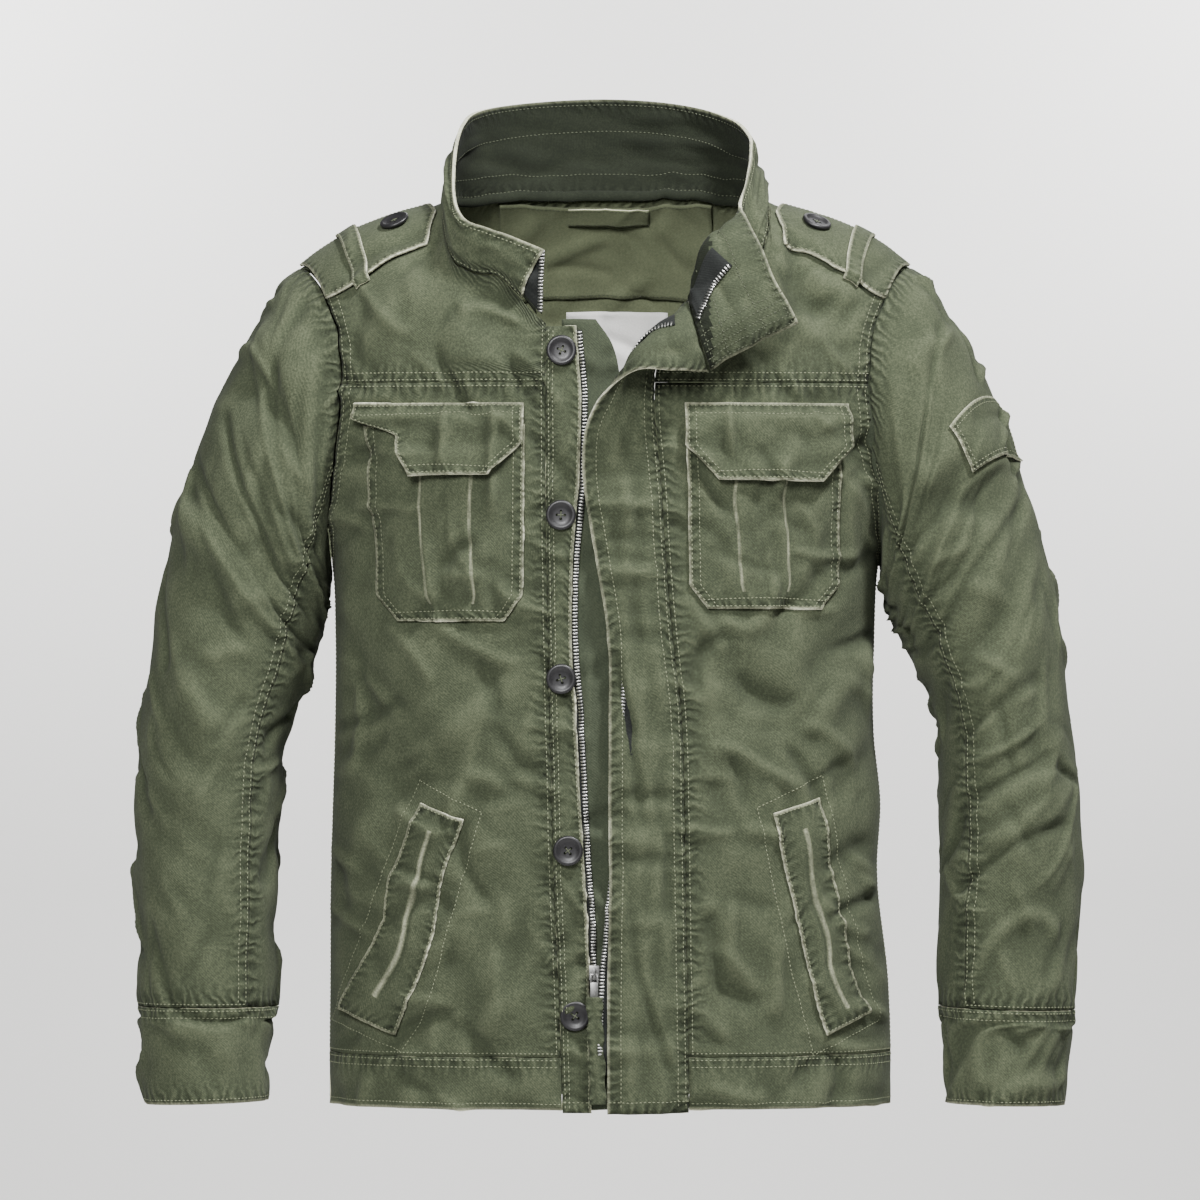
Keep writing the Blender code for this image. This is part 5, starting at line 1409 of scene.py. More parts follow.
for side_name in SIDES:
    name = f"armhole_allowance_{side_name}"
    cloth(name, armhole_allowance(side_name), ALLOWANCE, pitch=4, stands_for=(), looks=hidden_looks)

# %% [markdown]
# ## Plackets, zip and collar
# The left front carries the buttons on a strip of its own, with the zip's tape and a guard behind it. The
# right front's fly placket has fallen outwards from its seam, so it is a surface of its own between three
# lines. The collar is one band whose right end has fallen open with it.

# %% Plackets and zip tapes
ZIP_SINK = -(DOUBLE_CLOTH - HEM_PROUD + LAY_GAP)
ZIP_FOOT_Z, ZIP_TOP_Z, GUARD_TOP_Z = -690.0, -103.0, -97.0
TAPE_REACH, TOOTH_REACH = 13.0, 2.25


def gathers(z, across, height, drift, slow, reach):
    """Small gathers beside both long edges of a strip, whose pitch drifts slowly."""
    wave = np.sin(2 * math.pi * z / PUCKER_PITCH + drift * np.sin(z / slow))
    return height * wave * (near(across, reach) + near(1 - across, reach))


def button_placket(across, up):
    z = between(HEM_Z - 2, ZIP_TOP_Z, up)
    row = PLACKET.at(z)
    lift = HEM_PROUD + gathers(z, across, 0.45, 2, 31, 0.3)
    return front(between(row["seam_x"], row["free_x"], across), z, lift)


def fly_placket(across, up):
    share = 1 - across
    place = FLY.where[-1] * up
    gathered = 0.5 * np.sin(place * 15.5 + 2 * np.sin(place * 2.1)) * near(share, 0.22)
    spot = bare_fly(place, share)
    gathered = gathered + sum(ridge(spot[..., 0], spot[..., 2], *row) for row in FLY_CREASES)
    creased = crumple(place * 21, share * 70, **FLY_CRUMPLE)
    return fly(place, share, gathered + creased * smooth_step(4 * share))


def zip_left(across, up):
    z = between(ZIP_FOOT_Z, ZIP_TOP_Z - 3, up)
    tooth = ZIP_LEFT.at(z)["tooth_x"]
    return front(between(tooth - TAPE_REACH, tooth + TOOTH_REACH, across), z, ZIP_SINK)


def zip_guard(across, up):
    z = between(HEM_Z, GUARD_TOP_Z, up)
    row = GUARD.at(z)
    return front(between(row["near_x"], row["far_x"], across), z, ZIP_SINK - TAPE - LAY_GAP)


def zip_right(across, up):
    place = between(FLY.where[-1] / 30, FLY.where[-1] * 29 / 30, up)
    edge = ZIP_RIGHT.at(place)["edge_share"]
    return fly(place, between(edge, edge - 0.2, across), -(CLOTH + LAY_GAP))


placket_seams = {"pitch": 2.4, "puckers": "lrb", "pucker_reach": 7.0, "free_edges": "r"}
cloth("button_placket", button_placket, DOUBLE_CLOTH, **placket_seams)
fly_looks = (TWILL, TWILL, WORN_RIM)
fly_seams = {"pitch": 2.8, "puckers": "lrb", "pucker_reach": 9.0, "free_edges": "l"}
cloth("fly_placket", fly_placket, CLOTH, looks=fly_looks, **fly_seams)
tapes = (DARK_TAPE,) * 3
cloth("zip_left", zip_left, TAPE, looks=tapes, finish="zip_tape")
cloth("zip_right", zip_right, TAPE, looks=tapes, finish="zip_tape")
guard_looks = (TWILL_INSIDE, TWILL_INSIDE, WORN_RIM)
cloth("zip_guard", zip_guard, CLOTH, pitch=4, looks=guard_looks, finish="olive_twill_inside")

# %% Collar and the zip's ends on it
def collar_band(across, up):
    place = COLLAR.where[-1] * (1 - across)
    return collar(place + 1.1 * (1 - up) * np.maximum(0.0, 1 - place / 3), up)


def collar_zip_left(across, up):
    return collar(between(1.5, 0.0, across), between(0.03, 0.97, up), -(COLLAR_CLOTH + LAY_GAP))


def collar_zip_right(across, up):
    row = COLLAR_ZIP.at(up)
    gap = SEAM_GAP + 1.2 * np.sin(math.pi * np.minimum(up + 0.2, 1))
    place, height = row["place"] + row["place_back"] * across, row["up"] + row["up_back"] * across
    return collar(place, height, -(COLLAR_CLOTH + gap))


# Past the roll the collar's inner face is turned out to the light, and has rubbed like the outer one;
# elsewhere the inner face, the foot's too, is painted near black, as painted shade. Each three looks are a
# set of outer face, inner face and rim: the band's own, the fallen end's and the foot's. The foot's rim is
# painted dark as well, as painted shade.
FALLEN_X, FALLEN_Y, FOOT_REACH = 0.08, -0.045, 0.003
collar_looks = (TWILL, COLLAR_INSIDE_SHADE, WORN_RIM, TWILL, TWILL, WORN_RIM, TWILL, COLLAR_INSIDE_SHADE, SHADED_RIM)
collar_seams = {"pitch": 3, "puckers": "lrbt", "pucker_reach": 8.0, "free_edges": "lrt"}
band = cloth("collar", collar_band, COLLAR_CLOTH, looks=collar_looks, **collar_seams)
foot = collar(np.linspace(0, COLLAR.where[-1], 200), np.zeros(200)) * MM
for face in band.data.polygons:
    if face.center.x > FALLEN_X and face.center.y < FALLEN_Y:
        face.material_index = 3
    elif np.linalg.norm(foot - np.array(face.center), axis=1).min() < FOOT_REACH:
        face.material_index = 6
cloth("collar_zip_left", collar_zip_left, TAPE, looks=tapes, finish="zip_tape")
cloth("collar_zip_right", collar_zip_right, TAPE, looks=tapes, finish="zip_tape")


def neck_allowance(across, up):
    """The turned-in edges behind the neck seam."""
    return collar(between(18.6, 0.4, across), between(-0.06, 0.05, up), -(COLLAR_CLOTH + NECK_ALLOWANCE_GAP))


# The neck allowance is painted near black on every face, as painted shade behind the neck seam.
neck_looks = (COLLAR_INSIDE_SHADE,) * 3
cloth("neck_allowance", neck_allowance, ALLOWANCE, pitch=4, stands_for=(), looks=neck_looks)

# %% [markdown]
# ## Pockets, flaps, welts and straps
# What is sewn on a front is laid out on the front's own surface and moved out along its normal, so it
# follows every fold below it. The pleats of the chest pockets are folds of the pocket itself: two edges
# that stand up beside a middle line.

# %% Chest pockets and their flaps
POCKET_TOP_Z, FLAP_TOP_Z = -178.0, -161.5
POCKET_PUFF, POCKET_PLEAT, PLEAT_HALF = 2.2, 1.4, 0.16


def pleat_distance(side_name, across, z):
    """Share across from the middle of a pocket's pleat, whose edges wander a little."""
    sway = 0.012 * np.sin(z / 17 + POCKETS[side_name]["left"])
    sway = sway + 0.05 * near(z + 232, 22) * (side_name == "right")
    return np.abs(across - 0.5 + sway)


def pleat_edges(side_name):
    """Distance from the rubbed edges of a pleat, in millimetres."""

    def distance(across, up):
        z = between(POCKETS[side_name]["bottom"], POCKET_TOP_Z, up)
        return 0.3 + 175 * np.abs(pleat_distance(side_name, across, z) - PLEAT_HALF) + 40 * (up < 0.08)

    return distance


def lip_edge(side_name):
    """Distance from the rubbed lip of a hand pocket, which lies along the middle of its welt."""

    def distance(across, up):
        share = one_way(SIDES[side_name], across)
        return 46 * np.abs(share - 0.52 - 0.03 * np.sin(up * 17)) + 40 * (np.abs(up - 0.5) > 0.42)

    return distance


def chest_pocket(side_name):
    size = POCKETS[side_name]

    def surface(across, up):
        cut = 14.0 * np.maximum(0.0, 1 - up / 0.13)
        left = size["left"] + size["narrow"] * (1 - up) + cut
        right = size["right"] - 2 * (1 - up) - cut
        x, z = between(left, right, across), between(size["bottom"], POCKET_TOP_Z, up)
        lift = POCKET_PUFF * smooth_step(5 * np.minimum(np.minimum(across, 1 - across), up))
        # The pleat's edges wander a little, and one of them is folded back lower down on the right pocket.
        from_middle = pleat_distance(side_name, across, z)
        rim = 0.55 + 0.6 * near(from_middle - PLEAT_HALF, 0.045)
        pleat = smooth_step((PLEAT_HALF - from_middle) * 60) * rim
        fold = -1.1 * near(from_middle, 0.02) * smooth_step(6 * up)
        lift = lift + 1.25 * POCKET_PLEAT * (pleat + 0.4 * fold) + crumple(x * 1.3, z, **POCKET_CRUMPLE)
        return front(x, z, POCKET_GAP + CLOTH + np.maximum(lift, -0.2))

    return surface


def pocket_flap(side_name):
    size = FLAPS[side_name]

    def surface(across, up):
        z = between(size["low"], FLAP_TOP_Z, up)
        cut = size["corner"] * np.maximum(0.0, 1 - up / 0.45)
        left, right = size["left"] + cut, size["right"] - cut
        pocket = POCKET_GAP + CLOTH + POCKET_PUFF + POCKET_PLEAT
        lift = LAY_GAP + DOUBLE_CLOTH + pocket * smooth_step((FLAP_TOP_Z - z) / 12)
        lift = lift + 5.0 * smooth_step((0.45 - up) * 2)
        if size["curl"]:
            left = left + 34 * smooth_step((0.82 - up) * 3.5) - cut / 2
            lift = lift + 8.0 * smooth_step((0.3 - across) * 3) * smooth_step((0.75 - up) * 2)
        x = between(left, right, across)
        sag = crumple(x, z * 1.3, **FLAP_CRUMPLE) * smooth_step(2.2 * (1 - up))
        return front(x, z, lift + np.maximum(sag, -0.8))

    return surface


def pocket_welt(side_name):
    table = WELTS[side_name]

    def surface(across, up):
        row = table.at(table.where[-1] * (1 - up))
        share = one_way(SIDES[side_name], across)
        x, z = between(row["near_x"], row["far_x"], share), between(row["near_z"], row["far_z"], share)
        lift = 2.4 * near(share - 0.5, 0.22) * np.sin(math.pi * up)
        lift = lift - 2.3 * near(share - 0.45 - 0.03 * np.sin(up * 17), 0.045) * np.sin(math.pi * up)
        gathered = gathers(z, share, 0.4, 3, 25, 0.2)
        gap = between(0.5, between(0.9, 1.9, share), 1 - up)
        return front(x, z, gap + CLOTH + lift + gathered)

    return surface


def applied(name, surface, thick, pitch, pucker_reach, puckers="lrbt", worn_lines=None):
    """A piece that is sewn on another one, with all its edges free."""
    cloth(
        name,
        surface,
        thick,
        pitch=pitch,
        puckers=puckers,
        pucker_reach=pucker_reach,
        free_edges="lrbt",
        worn_lines=worn_lines,
    )


for side_name in SIDES:
    pocket, pleat = chest_pocket(side_name), pleat_edges(side_name)
    applied(f"chest_pocket_{side_name}", pocket, CLOTH, 2.0, 7.0, "lrb", pleat)
    applied(f"pocket_flap_{side_name}", pocket_flap(side_name), DOUBLE_CLOTH, 2.2, 6.0)
    welt, lip = pocket_welt(side_name), lip_edge(side_name)
    applied(f"pocket_welt_{side_name}", welt, CLOTH, 2.0, 8.0, worn_lines=lip)

# %% Shoulder straps, their loops and the sleeve patch
def strap_spot(side, share, across):
    """X and height up the cloth on a shoulder strap, from the armhole seam to its pointed end."""
    up = between(between(40.0, 58.0, smooth_step(share)), between(103.0, 108.0, share), across)
    half = BODY.at(CAP_Z)["right" if side > 0 else "left"]
    start = half * ARMHOLE.at(up)["share"] - 1.2
    end = 137.0 - 7.0 * np.maximum(0.0, share - 0.85) / 0.15 * (1 - 2 * np.abs(across - 0.5))
    return side * between(start, end, share), np.minimum(up, CAP_RISE - 0.5)


def strap_lift(share):
    return EPAULETTE_GAP + DOUBLE_CLOTH + 1.5 * np.sin(math.pi * share)


def epaulette(side):
    def surface(across, up):
        share = one_way(-side, across)
        x, height = strap_spot(side, share, up)
        return body(turn_at(x, CAP_Z), height, strap_lift(share))

    return surface


def epaulette_loop(side):
    def surface(across, up):
        share = between(0.30, 0.45, one_way(-side, across))
        row = between(-0.07, 1.05, up)
        x, height = strap_spot(side, share, row)
        over = smooth_step((row + 0.07) / 0.07) * smooth_step((1.05 - row) / 0.05)
        lift = between(LAY_GAP + CLOTH, strap_lift(share) + LOOP_GAP + CLOTH, over)
        return body(turn_at(x, CAP_Z), height, lift)

    return surface


def sleeve_patch(across, up):
    row = PATCH.at(up)
    turn = between(row["near_turn"], row["far_turn"], across)
    return sleeve("right", between(row["near_place"], row["far_place"], across), turn, 1.6 + TAPE)


for side_name, side in SIDES.items():
    applied(f"epaulette_{side_name}", epaulette(side), DOUBLE_CLOTH, 2.4, 5.0)
    loop_seams = {"pitch": 1.6, "puckers": "lr", "pucker_reach": 4.0, "free_edges": "lr"}
    cloth(f"epaulette_loop_{side_name}", epaulette_loop(side), CLOTH, **loop_seams)
applied("sleeve_patch", sleeve_patch, TAPE, 2.2, 5.0)

# %% Inside the neck
INSIDE_LAY = -(CLOTH + 1.8)


def back_facing(across, up):
    x = between(84.0, -84.0, across)
    top = BACK_TOP.at(0.36 * np.abs(x) / 84.0)["up"] - 3
    return body(back_turn(x), between(25.0, top, up), INSIDE_LAY)


def label(across, up):
    x = between(49.0, -31.0, across)
    lay = between(INSIDE_LAY, -(CLOTH + 0.7), up)
    ripple = 0.5 * np.sin(math.pi * up) * np.cos(across * 9) ** 2
    return body(back_turn(x), between(-24.0, 20.0, up), lay - ripple)


def hanger_loop(across, up):
    x = between(34.0, -30.0, across)
    lay = INSIDE_LAY - TAPE - LAY_GAP - 3.0 * np.sin(math.pi * across)
    return body(back_turn(x), between(55.5, 64.5, up), lay)


# The facing and the hanger loop are painted paler, as painted light inside the neck.
inside = (BACK_INSIDE_LIT, BACK_INSIDE_LIT, SHADED_RIM)
cloth("back_facing", back_facing, TAPE, pitch=4, looks=inside, finish="olive_twill_inside")
cloth("label", label, TAPE, pitch=2.5, looks=(LABEL_CLOTH,) * 3, finish="label_cloth")
cloth("hanger_loop", hanger_loop, TAPE, pitch=2, looks=(BACK_INSIDE_LIT, BACK_INSIDE_LIT, WORN_RIM))

# %% [markdown]
# ## Stitching
# Each row of stitches follows one side of a piece at a set distance, on the piece's own surface. One
# stitch is a few faces, and all the stitches of a piece are a single mesh made from arrays, so thousands
# stay light.

# %% Many copies of a small shape in one mesh
def small_shape(make):
    """Points and faces of a small shape that bmesh makes, in millimetres."""
    shape = bmesh.new()
    make(shape)
    bmesh.ops.recalc_face_normals(shape, faces=shape.faces)
    points = np.array([vert.co[:] for vert in shape.verts])
    faces = [[vert.index for vert in face.verts] for face in shape.faces]
    shape.free()
    return points, faces


def scatter(name, shape, centres, ahead, normals, material, finish="olive_twill"):
    """Copies of a small shape, whose X runs ahead and whose Z stands out from the cloth."""
    points, faces = shape
    ahead = unit(ahead - times(np.sum(ahead * normals, axis=-1), normals))
    across = np.cross(normals, ahead)
    frames = np.stack([ahead, across, normals], axis=1)
    laid = (np.einsum("pk,nkc->npc", points, frames) + centres[:, None]) * MM
    steps = np.arange(len(centres)) * len(points)
    mesh = bpy.data.meshes.new(name)
    copied = [[int(step) + corner for corner in face] for step in steps for face in faces]
    mesh.from_pydata(laid.reshape(-1, 3), [], copied)
    mesh.materials.append(material)
    mesh.shade_smooth()
    piece = add_object(name, mesh)
    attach(piece, "jacket")
    return piece


def one_stitch(shape):
    bmesh.ops.create_uvsphere(shape, u_segments=4, v_segments=2, radius=1.0)
    bmesh.ops.scale(shape, vec=(1.4, 0.5, 0.34), verts=shape.verts)


STITCH = small_shape(one_stitch)


def side_line(laid, side, inset, first=0.0, last=1.0):
    """Shares across and up of a line that runs so many millimetres inside one side of a piece."""
    run, ladder = np.linspace(first, last, 120), np.linspace(0, 1, 61)
    if side in "lr":
        reach = spread(laid.at(*np.meshgrid(ladder, run)).swapaxes(0, 1))
    else:
        reach = spread(laid.at(*np.meshgrid(run, ladder)))
    goal = np.full(len(run), inset) if side in "lb" else reach[-1] - inset
    share = np.array([np.interp(goal[spot], reach[:, spot], ladder) for spot in range(len(run))])
    return (share, run) if side in "lr" else (run, share)


def spots_along(laid, across, up, pitch, out=0.0):
    """Centres, directions and normals at even steps along a line on a piece."""
    along = spread(laid.at(across, up)[:, None])[:, 0]
    steps = np.arange(pitch / 2, along[-1], pitch)
    across, up = np.interp(steps, along, across), np.interp(steps, along, up)
    centres, normals = laid.at(across, up), laid.facing(across, up)
    return centres + times(out, normals), np.gradient(centres, axis=0), normals


# %% Rows of stitches, piece by piece
STITCH_ROWS = {
    # piece: (side, distances inside that side), where front and back pieces name their outer side first
    "front_left": (("l", (3, 10)), ("r", (3,)), ("t", (2.5,)), ("b", (2.5,))),
    "front_right": (("r", (3, 10)), ("l", (3,)), ("t", (2.5,)), ("b", (2.5,))),
    "yoke_front_left": (("l", (3, 10)), ("b", (2, 7.5)), ("r", (3,))),
    "yoke_front_right": (("r", (3, 10)), ("b", (2, 7.5)), ("l", (3,))),
    "hem_front_left": (("t", (2.2, 7.5)), ("b", (5,))),
    "hem_front_right": (("t", (2.2, 7.5)), ("b", (5,))),
    "back": (("l", (3, 10)), ("r", (3, 10)), ("t", (2.5,))),
    "yoke_back": (("l", (3, 10)), ("r", (3, 10)), ("b", (2, 7.5))),
    "hem_back": (("t", (2.2, 7.5)), ("b", (5,))),
    "sleeve_upper_left": (("r", (2.4, 9)), ("l", (2.4,)), ("b", (2.4,))),
    "sleeve_upper_right": (("l", (2.4, 9)), ("r", (2.4,)), ("b", (2.4,))),
    "cuff_left": (("t", (2.2, 8)), ("b", (3.5,))),
    "cuff_right": (("t", (2.2, 8)), ("b", (3.5,))),
    "button_placket": (("l", (2.2, 5.5)), ("r", (2.2,)), ("b", (8,))),
    "fly_placket": (("r", (2.4, 8.5)), ("l", (10.5,)), ("b", (9,))),
    "collar": (("t", (4.5,)), ("b", (2.5,)), ("l", (3, 9)), ("r", (3,))),
    "chest_pocket_left": (("l", (2.4, 8.5)), ("r", (2.4, 8.5)), ("b", (2.4, 8.5))),
    "chest_pocket_right": (("l", (2.4, 8.5)), ("r", (2.4, 8.5)), ("b", (2.4, 8.5))),
    "pocket_flap_left": (("t", (2.4, 10)), ("l", (2.6,)), ("r", (2.6, 8)), ("b", (2.6, 8))),
    "pocket_flap_right": (("t", (2.4, 10)), ("l", (2.6, 8)), ("r", (2.6, 8)), ("b", (2.6, 8))),
    "pocket_welt_left": (("l", (2.2,)), ("r", (2.2,)), ("t", (2.2,)), ("b", (2.2,))),
    "pocket_welt_right": (("l", (2.2,)), ("r", (2.2,)), ("t", (2.2,)), ("b", (2.2,))),
    "epaulette_left": (("t", (2.4,)), ("b", (2.4,)), ("r", (2.4,))),
    "epaulette_right": (("t", (2.4,)), ("b", (2.4,)), ("l", (2.4,))),
    "epaulette_loop_left": (("l", (1.6,)), ("r", (1.6,))),
    "epaulette_loop_right": (("l", (1.6,)), ("r", (1.6,))),
    "sleeve_patch": (("l", (1.8, 5)), ("r", (1.8, 5)), ("t", (1.8, 5)), ("b", (1.8, 5))),
}
# Rows on the faces that look inwards at the neck, in the same form.
INSIDE_ROWS = {
    "collar": (("t", (4.5, 26)), ("b", (4, 18)), ("l", (3, 9, 15, 21, 27)), ("r", (3,))),
    "back_facing": (("b", (2.2,)), ("t", (3,))),
    "hanger_loop": (("b", (1.6,)), ("t", (1.6,))),
}
# Frames of stitching round the hand pockets: X and Z at their corners.
WELT_FRAMES = {
    "left": (
        (-145, -450),
        (-95, -474),
        (-110, -524),
        (-123, -575),
        (-135, -619),
        (-157, -658),
        (-212, -636),
        (-190, -572),
    ),
    "right": (
        (115.5, -470.5),
        (167, -446),
        (178, -500),
        (190, -560),
        (209.5, -636),
        (159.5, -661),
        (143, -600),
        (131.7, -548),
    ),
}


def rows_of(laid, rows, out):
    lines = []
    for side, insets in rows:
        for inset in insets:
            across, up = side_line(laid, side, inset, 0.005, 0.995)
            lines.append(spots_along(laid, across, up, STITCH_PITCH, out))
    return lines


def stitch_up(name, lines, material):
    parts = [np.concatenate(part) for part in zip(*lines)]
    return len(scatter(name, STITCH, *parts, material).data.polygons)


stitched = 0
for name, rows in STITCH_ROWS.items():
    stitched += stitch_up("stitches_" + name, rows_of(PIECES[name], rows, STITCH_PROUD), THREAD)
for name, rows in INSIDE_ROWS.items():
    depth = COLLAR_CLOTH if name == "collar" else TAPE
    lines = rows_of(PIECES[name], rows, -(depth + STITCH_PROUD))
    inward = [(centre, ahead, -normal) for centre, ahead, normal in lines]
    stitched += stitch_up("stitches_inside_" + name, inward, DARK_THREAD)

for side_name, corners in WELT_FRAMES.items():
    lines = []
    loop = np.array(corners + corners[:1], float)
    for start, end in zip(loop, loop[1:]):
        share = np.linspace(0, 1, 30)
        x, z = between(start[0], end[0], share), between(start[1], end[1], share)
        line = front(x, z)
        along = spread(line[:, None])[:, 0]
        steps = np.arange(STITCH_PITCH / 2, along[-1], STITCH_PITCH)
        x, z = np.interp(steps, along, x), np.interp(steps, along, z)
        centre = front(x, z, STITCH_PROUD)
        lines.append((centre, np.gradient(centre, axis=0), unit(front(x, z, 1.0) - front(x, z))))
    stitched += stitch_up(f"stitches_welt_frame_{side_name}", lines, THREAD)
print("stitch faces", stitched)

# %% [markdown]
# ## Zip, slider and buttons
# The teeth are small bevelled blocks, one every 2.6 mm, that straddle the edge of their tape. The buttons
# are turned from a profile and have four holes cut through them, with a cross of thread.

# %% Zip teeth
def bevel_all(shape, offset, segments, clamp=False):
    """Rounds every edge of a small shape by so many millimetres."""
    bmesh.ops.bevel(
        shape,
        geom=shape.edges[:],
        offset=offset,
        segments=segments,
        profile=0.5,
        affect="EDGES",
        material=-1,
        clamp_overlap=clamp,
    )


def one_tooth(shape):
    bmesh.ops.create_cube(shape, size=1.0)
    bmesh.ops.scale(shape, vec=(1.5, 4.2, 2.2), verts=shape.verts)
    bevel_all(shape, 0.35, 1)


TOOTH = small_shape(one_tooth)
TEETH = {
    # piece: (side of the teeth, distance inside it, pitch, offset from the outer face)
    "zip_left": ("r", 2.0, 2.6, -0.5),
    "zip_right": ("l", 1.6, 2.6, -0.7),
    "collar_zip_left": ("r", 1.6, 2.6, -0.6),
    "collar_zip_right": ("l", 1.6, 2.6, -0.7),
}
for name, (side, inset, pitch, out) in TEETH.items():
    across, up = side_line(PIECES[name], side, inset)
    centres, ahead, normals = spots_along(PIECES[name], across, up, pitch, out)
    scatter("teeth_" + name, TOOTH, centres, ahead, normals, TOOTH_METAL, finish="zip_metal")

# %% Buttons
BUTTON_THICK, BUTTON_LIFT = 3.4, 0.6
BUTTON_HEIGHTS = (-121.7, -247.2, -372.0, -502.8, -629.1)
STRAP_BUTTON_SHARE = 0.74
BUTTON_PROFILE = (
    # radius, height
    (0.0, 0.35),
    (5.2, 0.35),
    (7.6, 0.75),
    (8.6, 1.45),
    (9.6, 1.7),
    (10.6, 1.55),
    (11.3, 1.0),
    (11.5, 0.2),
    (11.2, -0.9),
    (10.3, -1.7),
    (0.0, -1.7),
)
HOLE_OFF, HOLE_RADIUS = 2.1, 1.05


def new_mesh(name, shape, material):
    """A mesh from a bmesh, which is freed, with its material."""
    mesh = bpy.data.meshes.new(name)
    shape.to_mesh(mesh)
    shape.free()
    mesh.materials.append(material)
    return mesh


def turned_button():
    """A button about its own Z, in millimetres, with its holes cut."""
    shape = bmesh.new()
    line = [shape.verts.new((radius, 0, height)) for radius, height in BUTTON_PROFILE]
    edges = [shape.edges.new(pair) for pair in zip(line, line[1:])]
    bmesh.ops.spin(
        shape,
        geom=line + edges,
        axis=(0, 0, 1),
        cent=(0, 0, 0),
        angle=2 * math.pi,
        steps=40,
        use_merge=True,
    )
    bmesh.ops.remove_doubles(shape, verts=shape.verts, dist=0.001)
    bmesh.ops.recalc_face_normals(shape, faces=shape.faces)
    disc = add_object("button_blank", new_mesh("button_blank", shape, BUTTON_PLASTIC))
    drill = bmesh.new()
    for x in (-HOLE_OFF, HOLE_OFF):
        for y in (-HOLE_OFF, HOLE_OFF):
            place = Matrix.Translation((x, y, 0))
            bmesh.ops.create_cone(
                drill,
                cap_ends=True,
                segments=12,
                radius1=HOLE_RADIUS,
                radius2=HOLE_RADIUS,
                depth=9,
                matrix=place,
            )
    drills = add_object("button_drills", new_mesh("button_drills", drill, BUTTON_PLASTIC))
    cut = disc.modifiers.new("Holes", "BOOLEAN")
    cut.operation = "DIFFERENCE"
    cut.solver = "EXACT"
    cut.object = drills
    bpy.context.view_layer.update()
    mesh = bpy.data.meshes.new_from_object(disc.evaluated_get(bpy.context.evaluated_depsgraph_get()))
    for item in (disc, drills):
        bpy.data.objects.remove(item)
    return mesh


def thread_cross(shape):
    for turn in (45, -45):
        bar = bmesh.ops.create_uvsphere(shape, u_segments=6, v_segments=4, radius=1.0)["verts"]
        bmesh.ops.scale(shape, vec=(0.45, 0.45, 3.2), verts=bar)
        lay = Matrix.Rotation(math.radians(90), 3, "Y")
        bmesh.ops.rotate(shape, matrix=lay, verts=bar)
        bmesh.ops.rotate(shape, matrix=Matrix.Rotation(math.radians(turn), 3, "Z"), verts=bar)
        bmesh.ops.translate(shape, vec=(0, 0, 0.5), verts=bar)


BUTTON_MESH = turned_button()
CROSS = small_shape(thread_cross)


def lay_button(name, spot, normal, turn):
    """One button on the cloth, facing along the normal, and the thread that holds it."""
    middle = np.array(spot) + np.array(normal) * (BUTTON_LIFT + BUTTON_THICK / 2)
    facing = Vector((0, 0, 1)).rotation_difference(Vector(normal)).to_matrix()
    face = facing @ Matrix.Rotation(math.radians(turn), 3, "Z")
    mesh = BUTTON_MESH.copy()
    mesh.transform(Matrix.Translation(Vector(middle) * MM) @ face.to_4x4() @ Matrix.Scale(MM, 4))
    mesh.shade_smooth()
    mesh.set_sharp_from_angle(angle=math.radians(38))
    piece = add_object(name, mesh)
    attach(piece, "jacket")
    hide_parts(name)
    ahead = np.array(face.col[0])
    scatter("thread_" + name, CROSS, middle[None], ahead[None], np.array(normal)[None], DARK_THREAD)


def front_normal(x, z):
    return body_normal(turn_at(x, min(z, CAP_Z)), up_at(x, z))


for number, z in enumerate(BUTTON_HEIGHTS, 1):
    row = PLACKET.at(z)
    x = (row["seam_x"] + row["free_x"]) / 2
    lay_button(f"front_button_{number}", front(x, z, HEM_PROUD), front_normal(x, z), 20 * number)
for side_name, side in SIDES.items():
    x, height = strap_spot(side, STRAP_BUTTON_SHARE, 0.5)
    turn = turn_at(x, CAP_Z)
    spot = body(turn, height, strap_lift(STRAP_BUTTON_SHARE))
    lay_button(f"epaulette_button_{side_name}", spot, body_normal(turn, height), 30 * side)

# %% Slider and pull
SLIDER_X, SLIDER_Z = -9.0, -596.0
SLIDER_FACE = float(front(np.array(SLIDER_X), np.array(SLIDER_Z))[1]) - 2.5
PULL_AXIS = np.array((SLIDER_X, SLIDER_FACE - 2.3, SLIDER_Z - 1.4))


def blocks(name, rows, bevel, material, body_name, node):
    """Small bevelled blocks in one mesh: a centre and three sizes for each."""
    shape = bmesh.new()
    for centre, sizes in rows:
        cube = bmesh.ops.create_cube(shape, size=1.0)["verts"]
        bmesh.ops.scale(shape, vec=sizes, verts=cube)
        bmesh.ops.translate(shape, vec=centre, verts=cube)
    bevel_all(shape, bevel, 2, clamp=True)
    bmesh.ops.scale(shape, vec=(MM, MM, MM), verts=shape.verts)
    piece = add_object(name, new_mesh(name, shape, material))
    piece.data.shade_smooth()
    piece.data.set_sharp_from_angle(angle=math.radians(40))
    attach(piece, body_name)
    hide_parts(node)


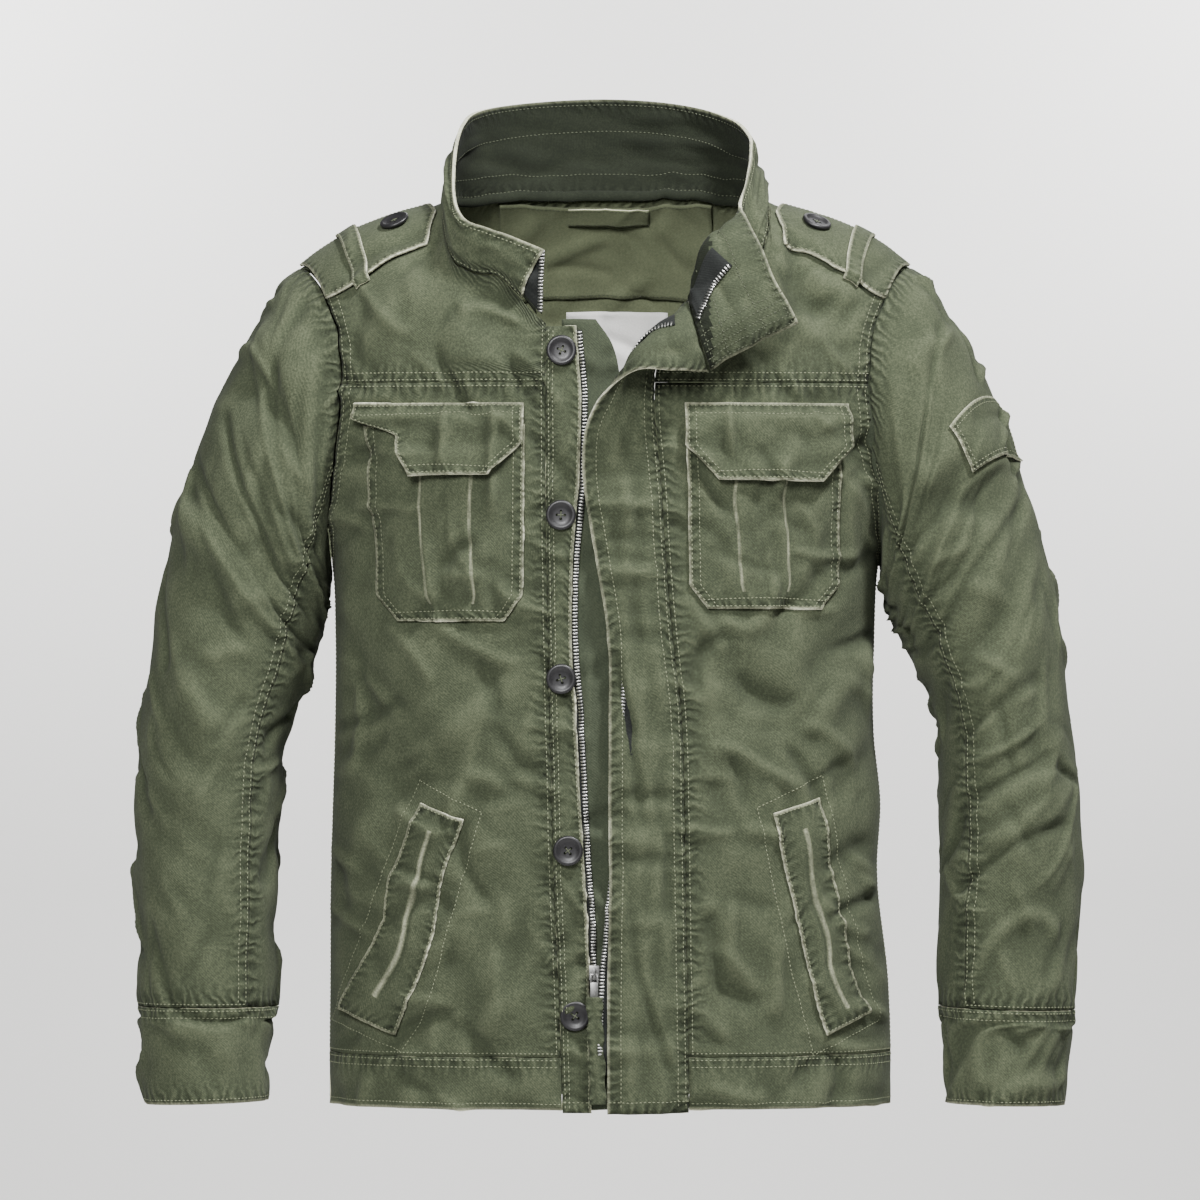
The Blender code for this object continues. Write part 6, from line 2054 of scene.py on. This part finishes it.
slider_rows = [
    ((SLIDER_X, SLIDER_FACE + 0.6, SLIDER_Z), (8.0, 1.2, 11.0)),
    ((SLIDER_X, SLIDER_FACE + 2.4, SLIDER_Z), (8.0, 1.2, 10.0)),
    ((SLIDER_X, SLIDER_FACE + 1.5, SLIDER_Z + 4.0), (3.0, 1.6, 2.6)),
    ((SLIDER_X, SLIDER_FACE - 1.9, SLIDER_Z - 3.3), (1.6, 5.0, 1.2)),
    ((SLIDER_X, SLIDER_FACE - 1.9, SLIDER_Z + 3.3), (1.6, 5.0, 1.2)),
    ((SLIDER_X, SLIDER_FACE - 4.8, SLIDER_Z), (1.5, 1.2, 7.6)),
]
blocks("zip_slider", slider_rows, 0.3, PULL_METAL, "jacket", "zip_slider")
ax, ay, az = PULL_AXIS
pull_rows = [
    ((ax, ay, az), (6.6, 1.4, 1.4)),
    ((ax - 2.5, ay, az - 3.2), (1.6, 1.4, 6.4)),
    ((ax + 2.5, ay, az - 3.2), (1.6, 1.4, 6.4)),
    ((ax, ay, az - 13.9), (6.2, 1.4, 16.2)),
]
blocks("zip_pull", pull_rows, 0.35, PULL_METAL, "pull", "zip_pull")


def pull_strip(across, up):
    x = between(-6.0, 6.0, across) * (1 + 0.12 * np.sin(up * 22)) + 3.0 * (1 - up)
    z = between(-82.0, 0.0, up) - 17.0
    lift = 0.7 + LAY_GAP + 1.6 + np.sin(math.pi * 1.5 * (1 - up)) + 0.5 * near(up - 0.06, 0.06)
    fold = 0.5 * np.cos(across * 9 + up * 7) * near(across - 0.5, 0.5)
    return PULL_AXIS + stack(x, -lift - fold, z)


cloth("pull_strip", pull_strip, 1.6, pitch=1.6, body_name="pull", puckers="lr", pucker_reach=3.0)

# %% [markdown]
# ## Camera, light and stage
# The photograph looks straight at the front from several metres away, lit from the upper right and softly
# from beside the camera. A long lens from seven metres keeps the sides from showing too much. The sweep
# stands far behind, so that the jacket can also be seen from the back.

# %% Camera, soft light and a pale sweep
CAMERA_AIM = Vector((-0.0046, -0.05, -0.3119))
CAMERA_BACK = 6.93

lens = bpy.data.cameras.new("camera")
lens.lens = 270
lens.sensor_width = 36
lens.clip_end = 60
camera = add_object("camera", lens)
camera.location = CAMERA_AIM + Vector((0, -CAMERA_BACK, 0))
camera.rotation_euler = (math.radians(90), 0, 0)
bpy.context.scene.camera = camera


def soft_light(name, where, aim, size, power):
    """A square area light that looks at a point."""
    light = bpy.data.lights.new(name, "AREA")
    light.size = size
    light.energy = power
    lamp = add_object(name, light)
    lamp.location = where
    lamp.rotation_euler = (Vector(aim) - Vector(where)).to_track_quat("-Z", "Y").to_euler()
    return lamp


lamps = [
    soft_light("key", (1.25, -1.25, 2.4), (0, 0, -0.3), 0.45, 215),
    soft_light("fill", (-0.7, -2.9, 1.1), (0, 0, -0.35), 0.9, 150),
    soft_light("rim", (0.6, 2.4, 1.5), (0, 0, -0.2), 1.4, 24),
    soft_light("backdrop_right", (1.6, 10.2, 1.2), (-0.4, 11.45, -0.3), 1.6, 103),
    soft_light("backdrop_left", (-1.6, 10.2, 1.2), (0.4, 11.45, -0.3), 1.6, 103),
]
world = bpy.data.worlds.new("studio")
world.use_nodes = True
world.node_tree.nodes["Background"].inputs["Color"].default_value = linear("#F2F3F2")
world.node_tree.nodes["Background"].inputs["Strength"].default_value = 0.24
bpy.context.scene.world = world

backdrop = plain_finish("painted_backdrop", "#F1F0EE", 0.95)
sweep = bmesh.new()
SWEEP_HALF = 6.0
profile = [(-12.0, -2.1), (10.1, -2.1), (10.8, -1.95), (11.3, -1.5), (11.45, -0.9), (11.45, 4.0)]
line = [sweep.verts.new((-SWEEP_HALF, y, z)) for y, z in profile]
edges = [sweep.edges.new(pair) for pair in zip(line, line[1:])]
pulled = bmesh.ops.extrude_edge_only(sweep, edges=edges)
moved = [item for item in pulled["geom"] if isinstance(item, bmesh.types.BMVert)]
bmesh.ops.translate(sweep, verts=moved, vec=(2 * SWEEP_HALF, 0, 0))
bmesh.ops.recalc_face_normals(sweep, faces=sweep.faces)
stage = add_object("sweep", new_mesh("sweep", sweep, backdrop))
stage.data.shade_smooth()

# %% Sizes, and the end of the lesson
print("sheets", len(SHEETS), "triangles in cloth", sum(row[-1] for row in SHEETS))
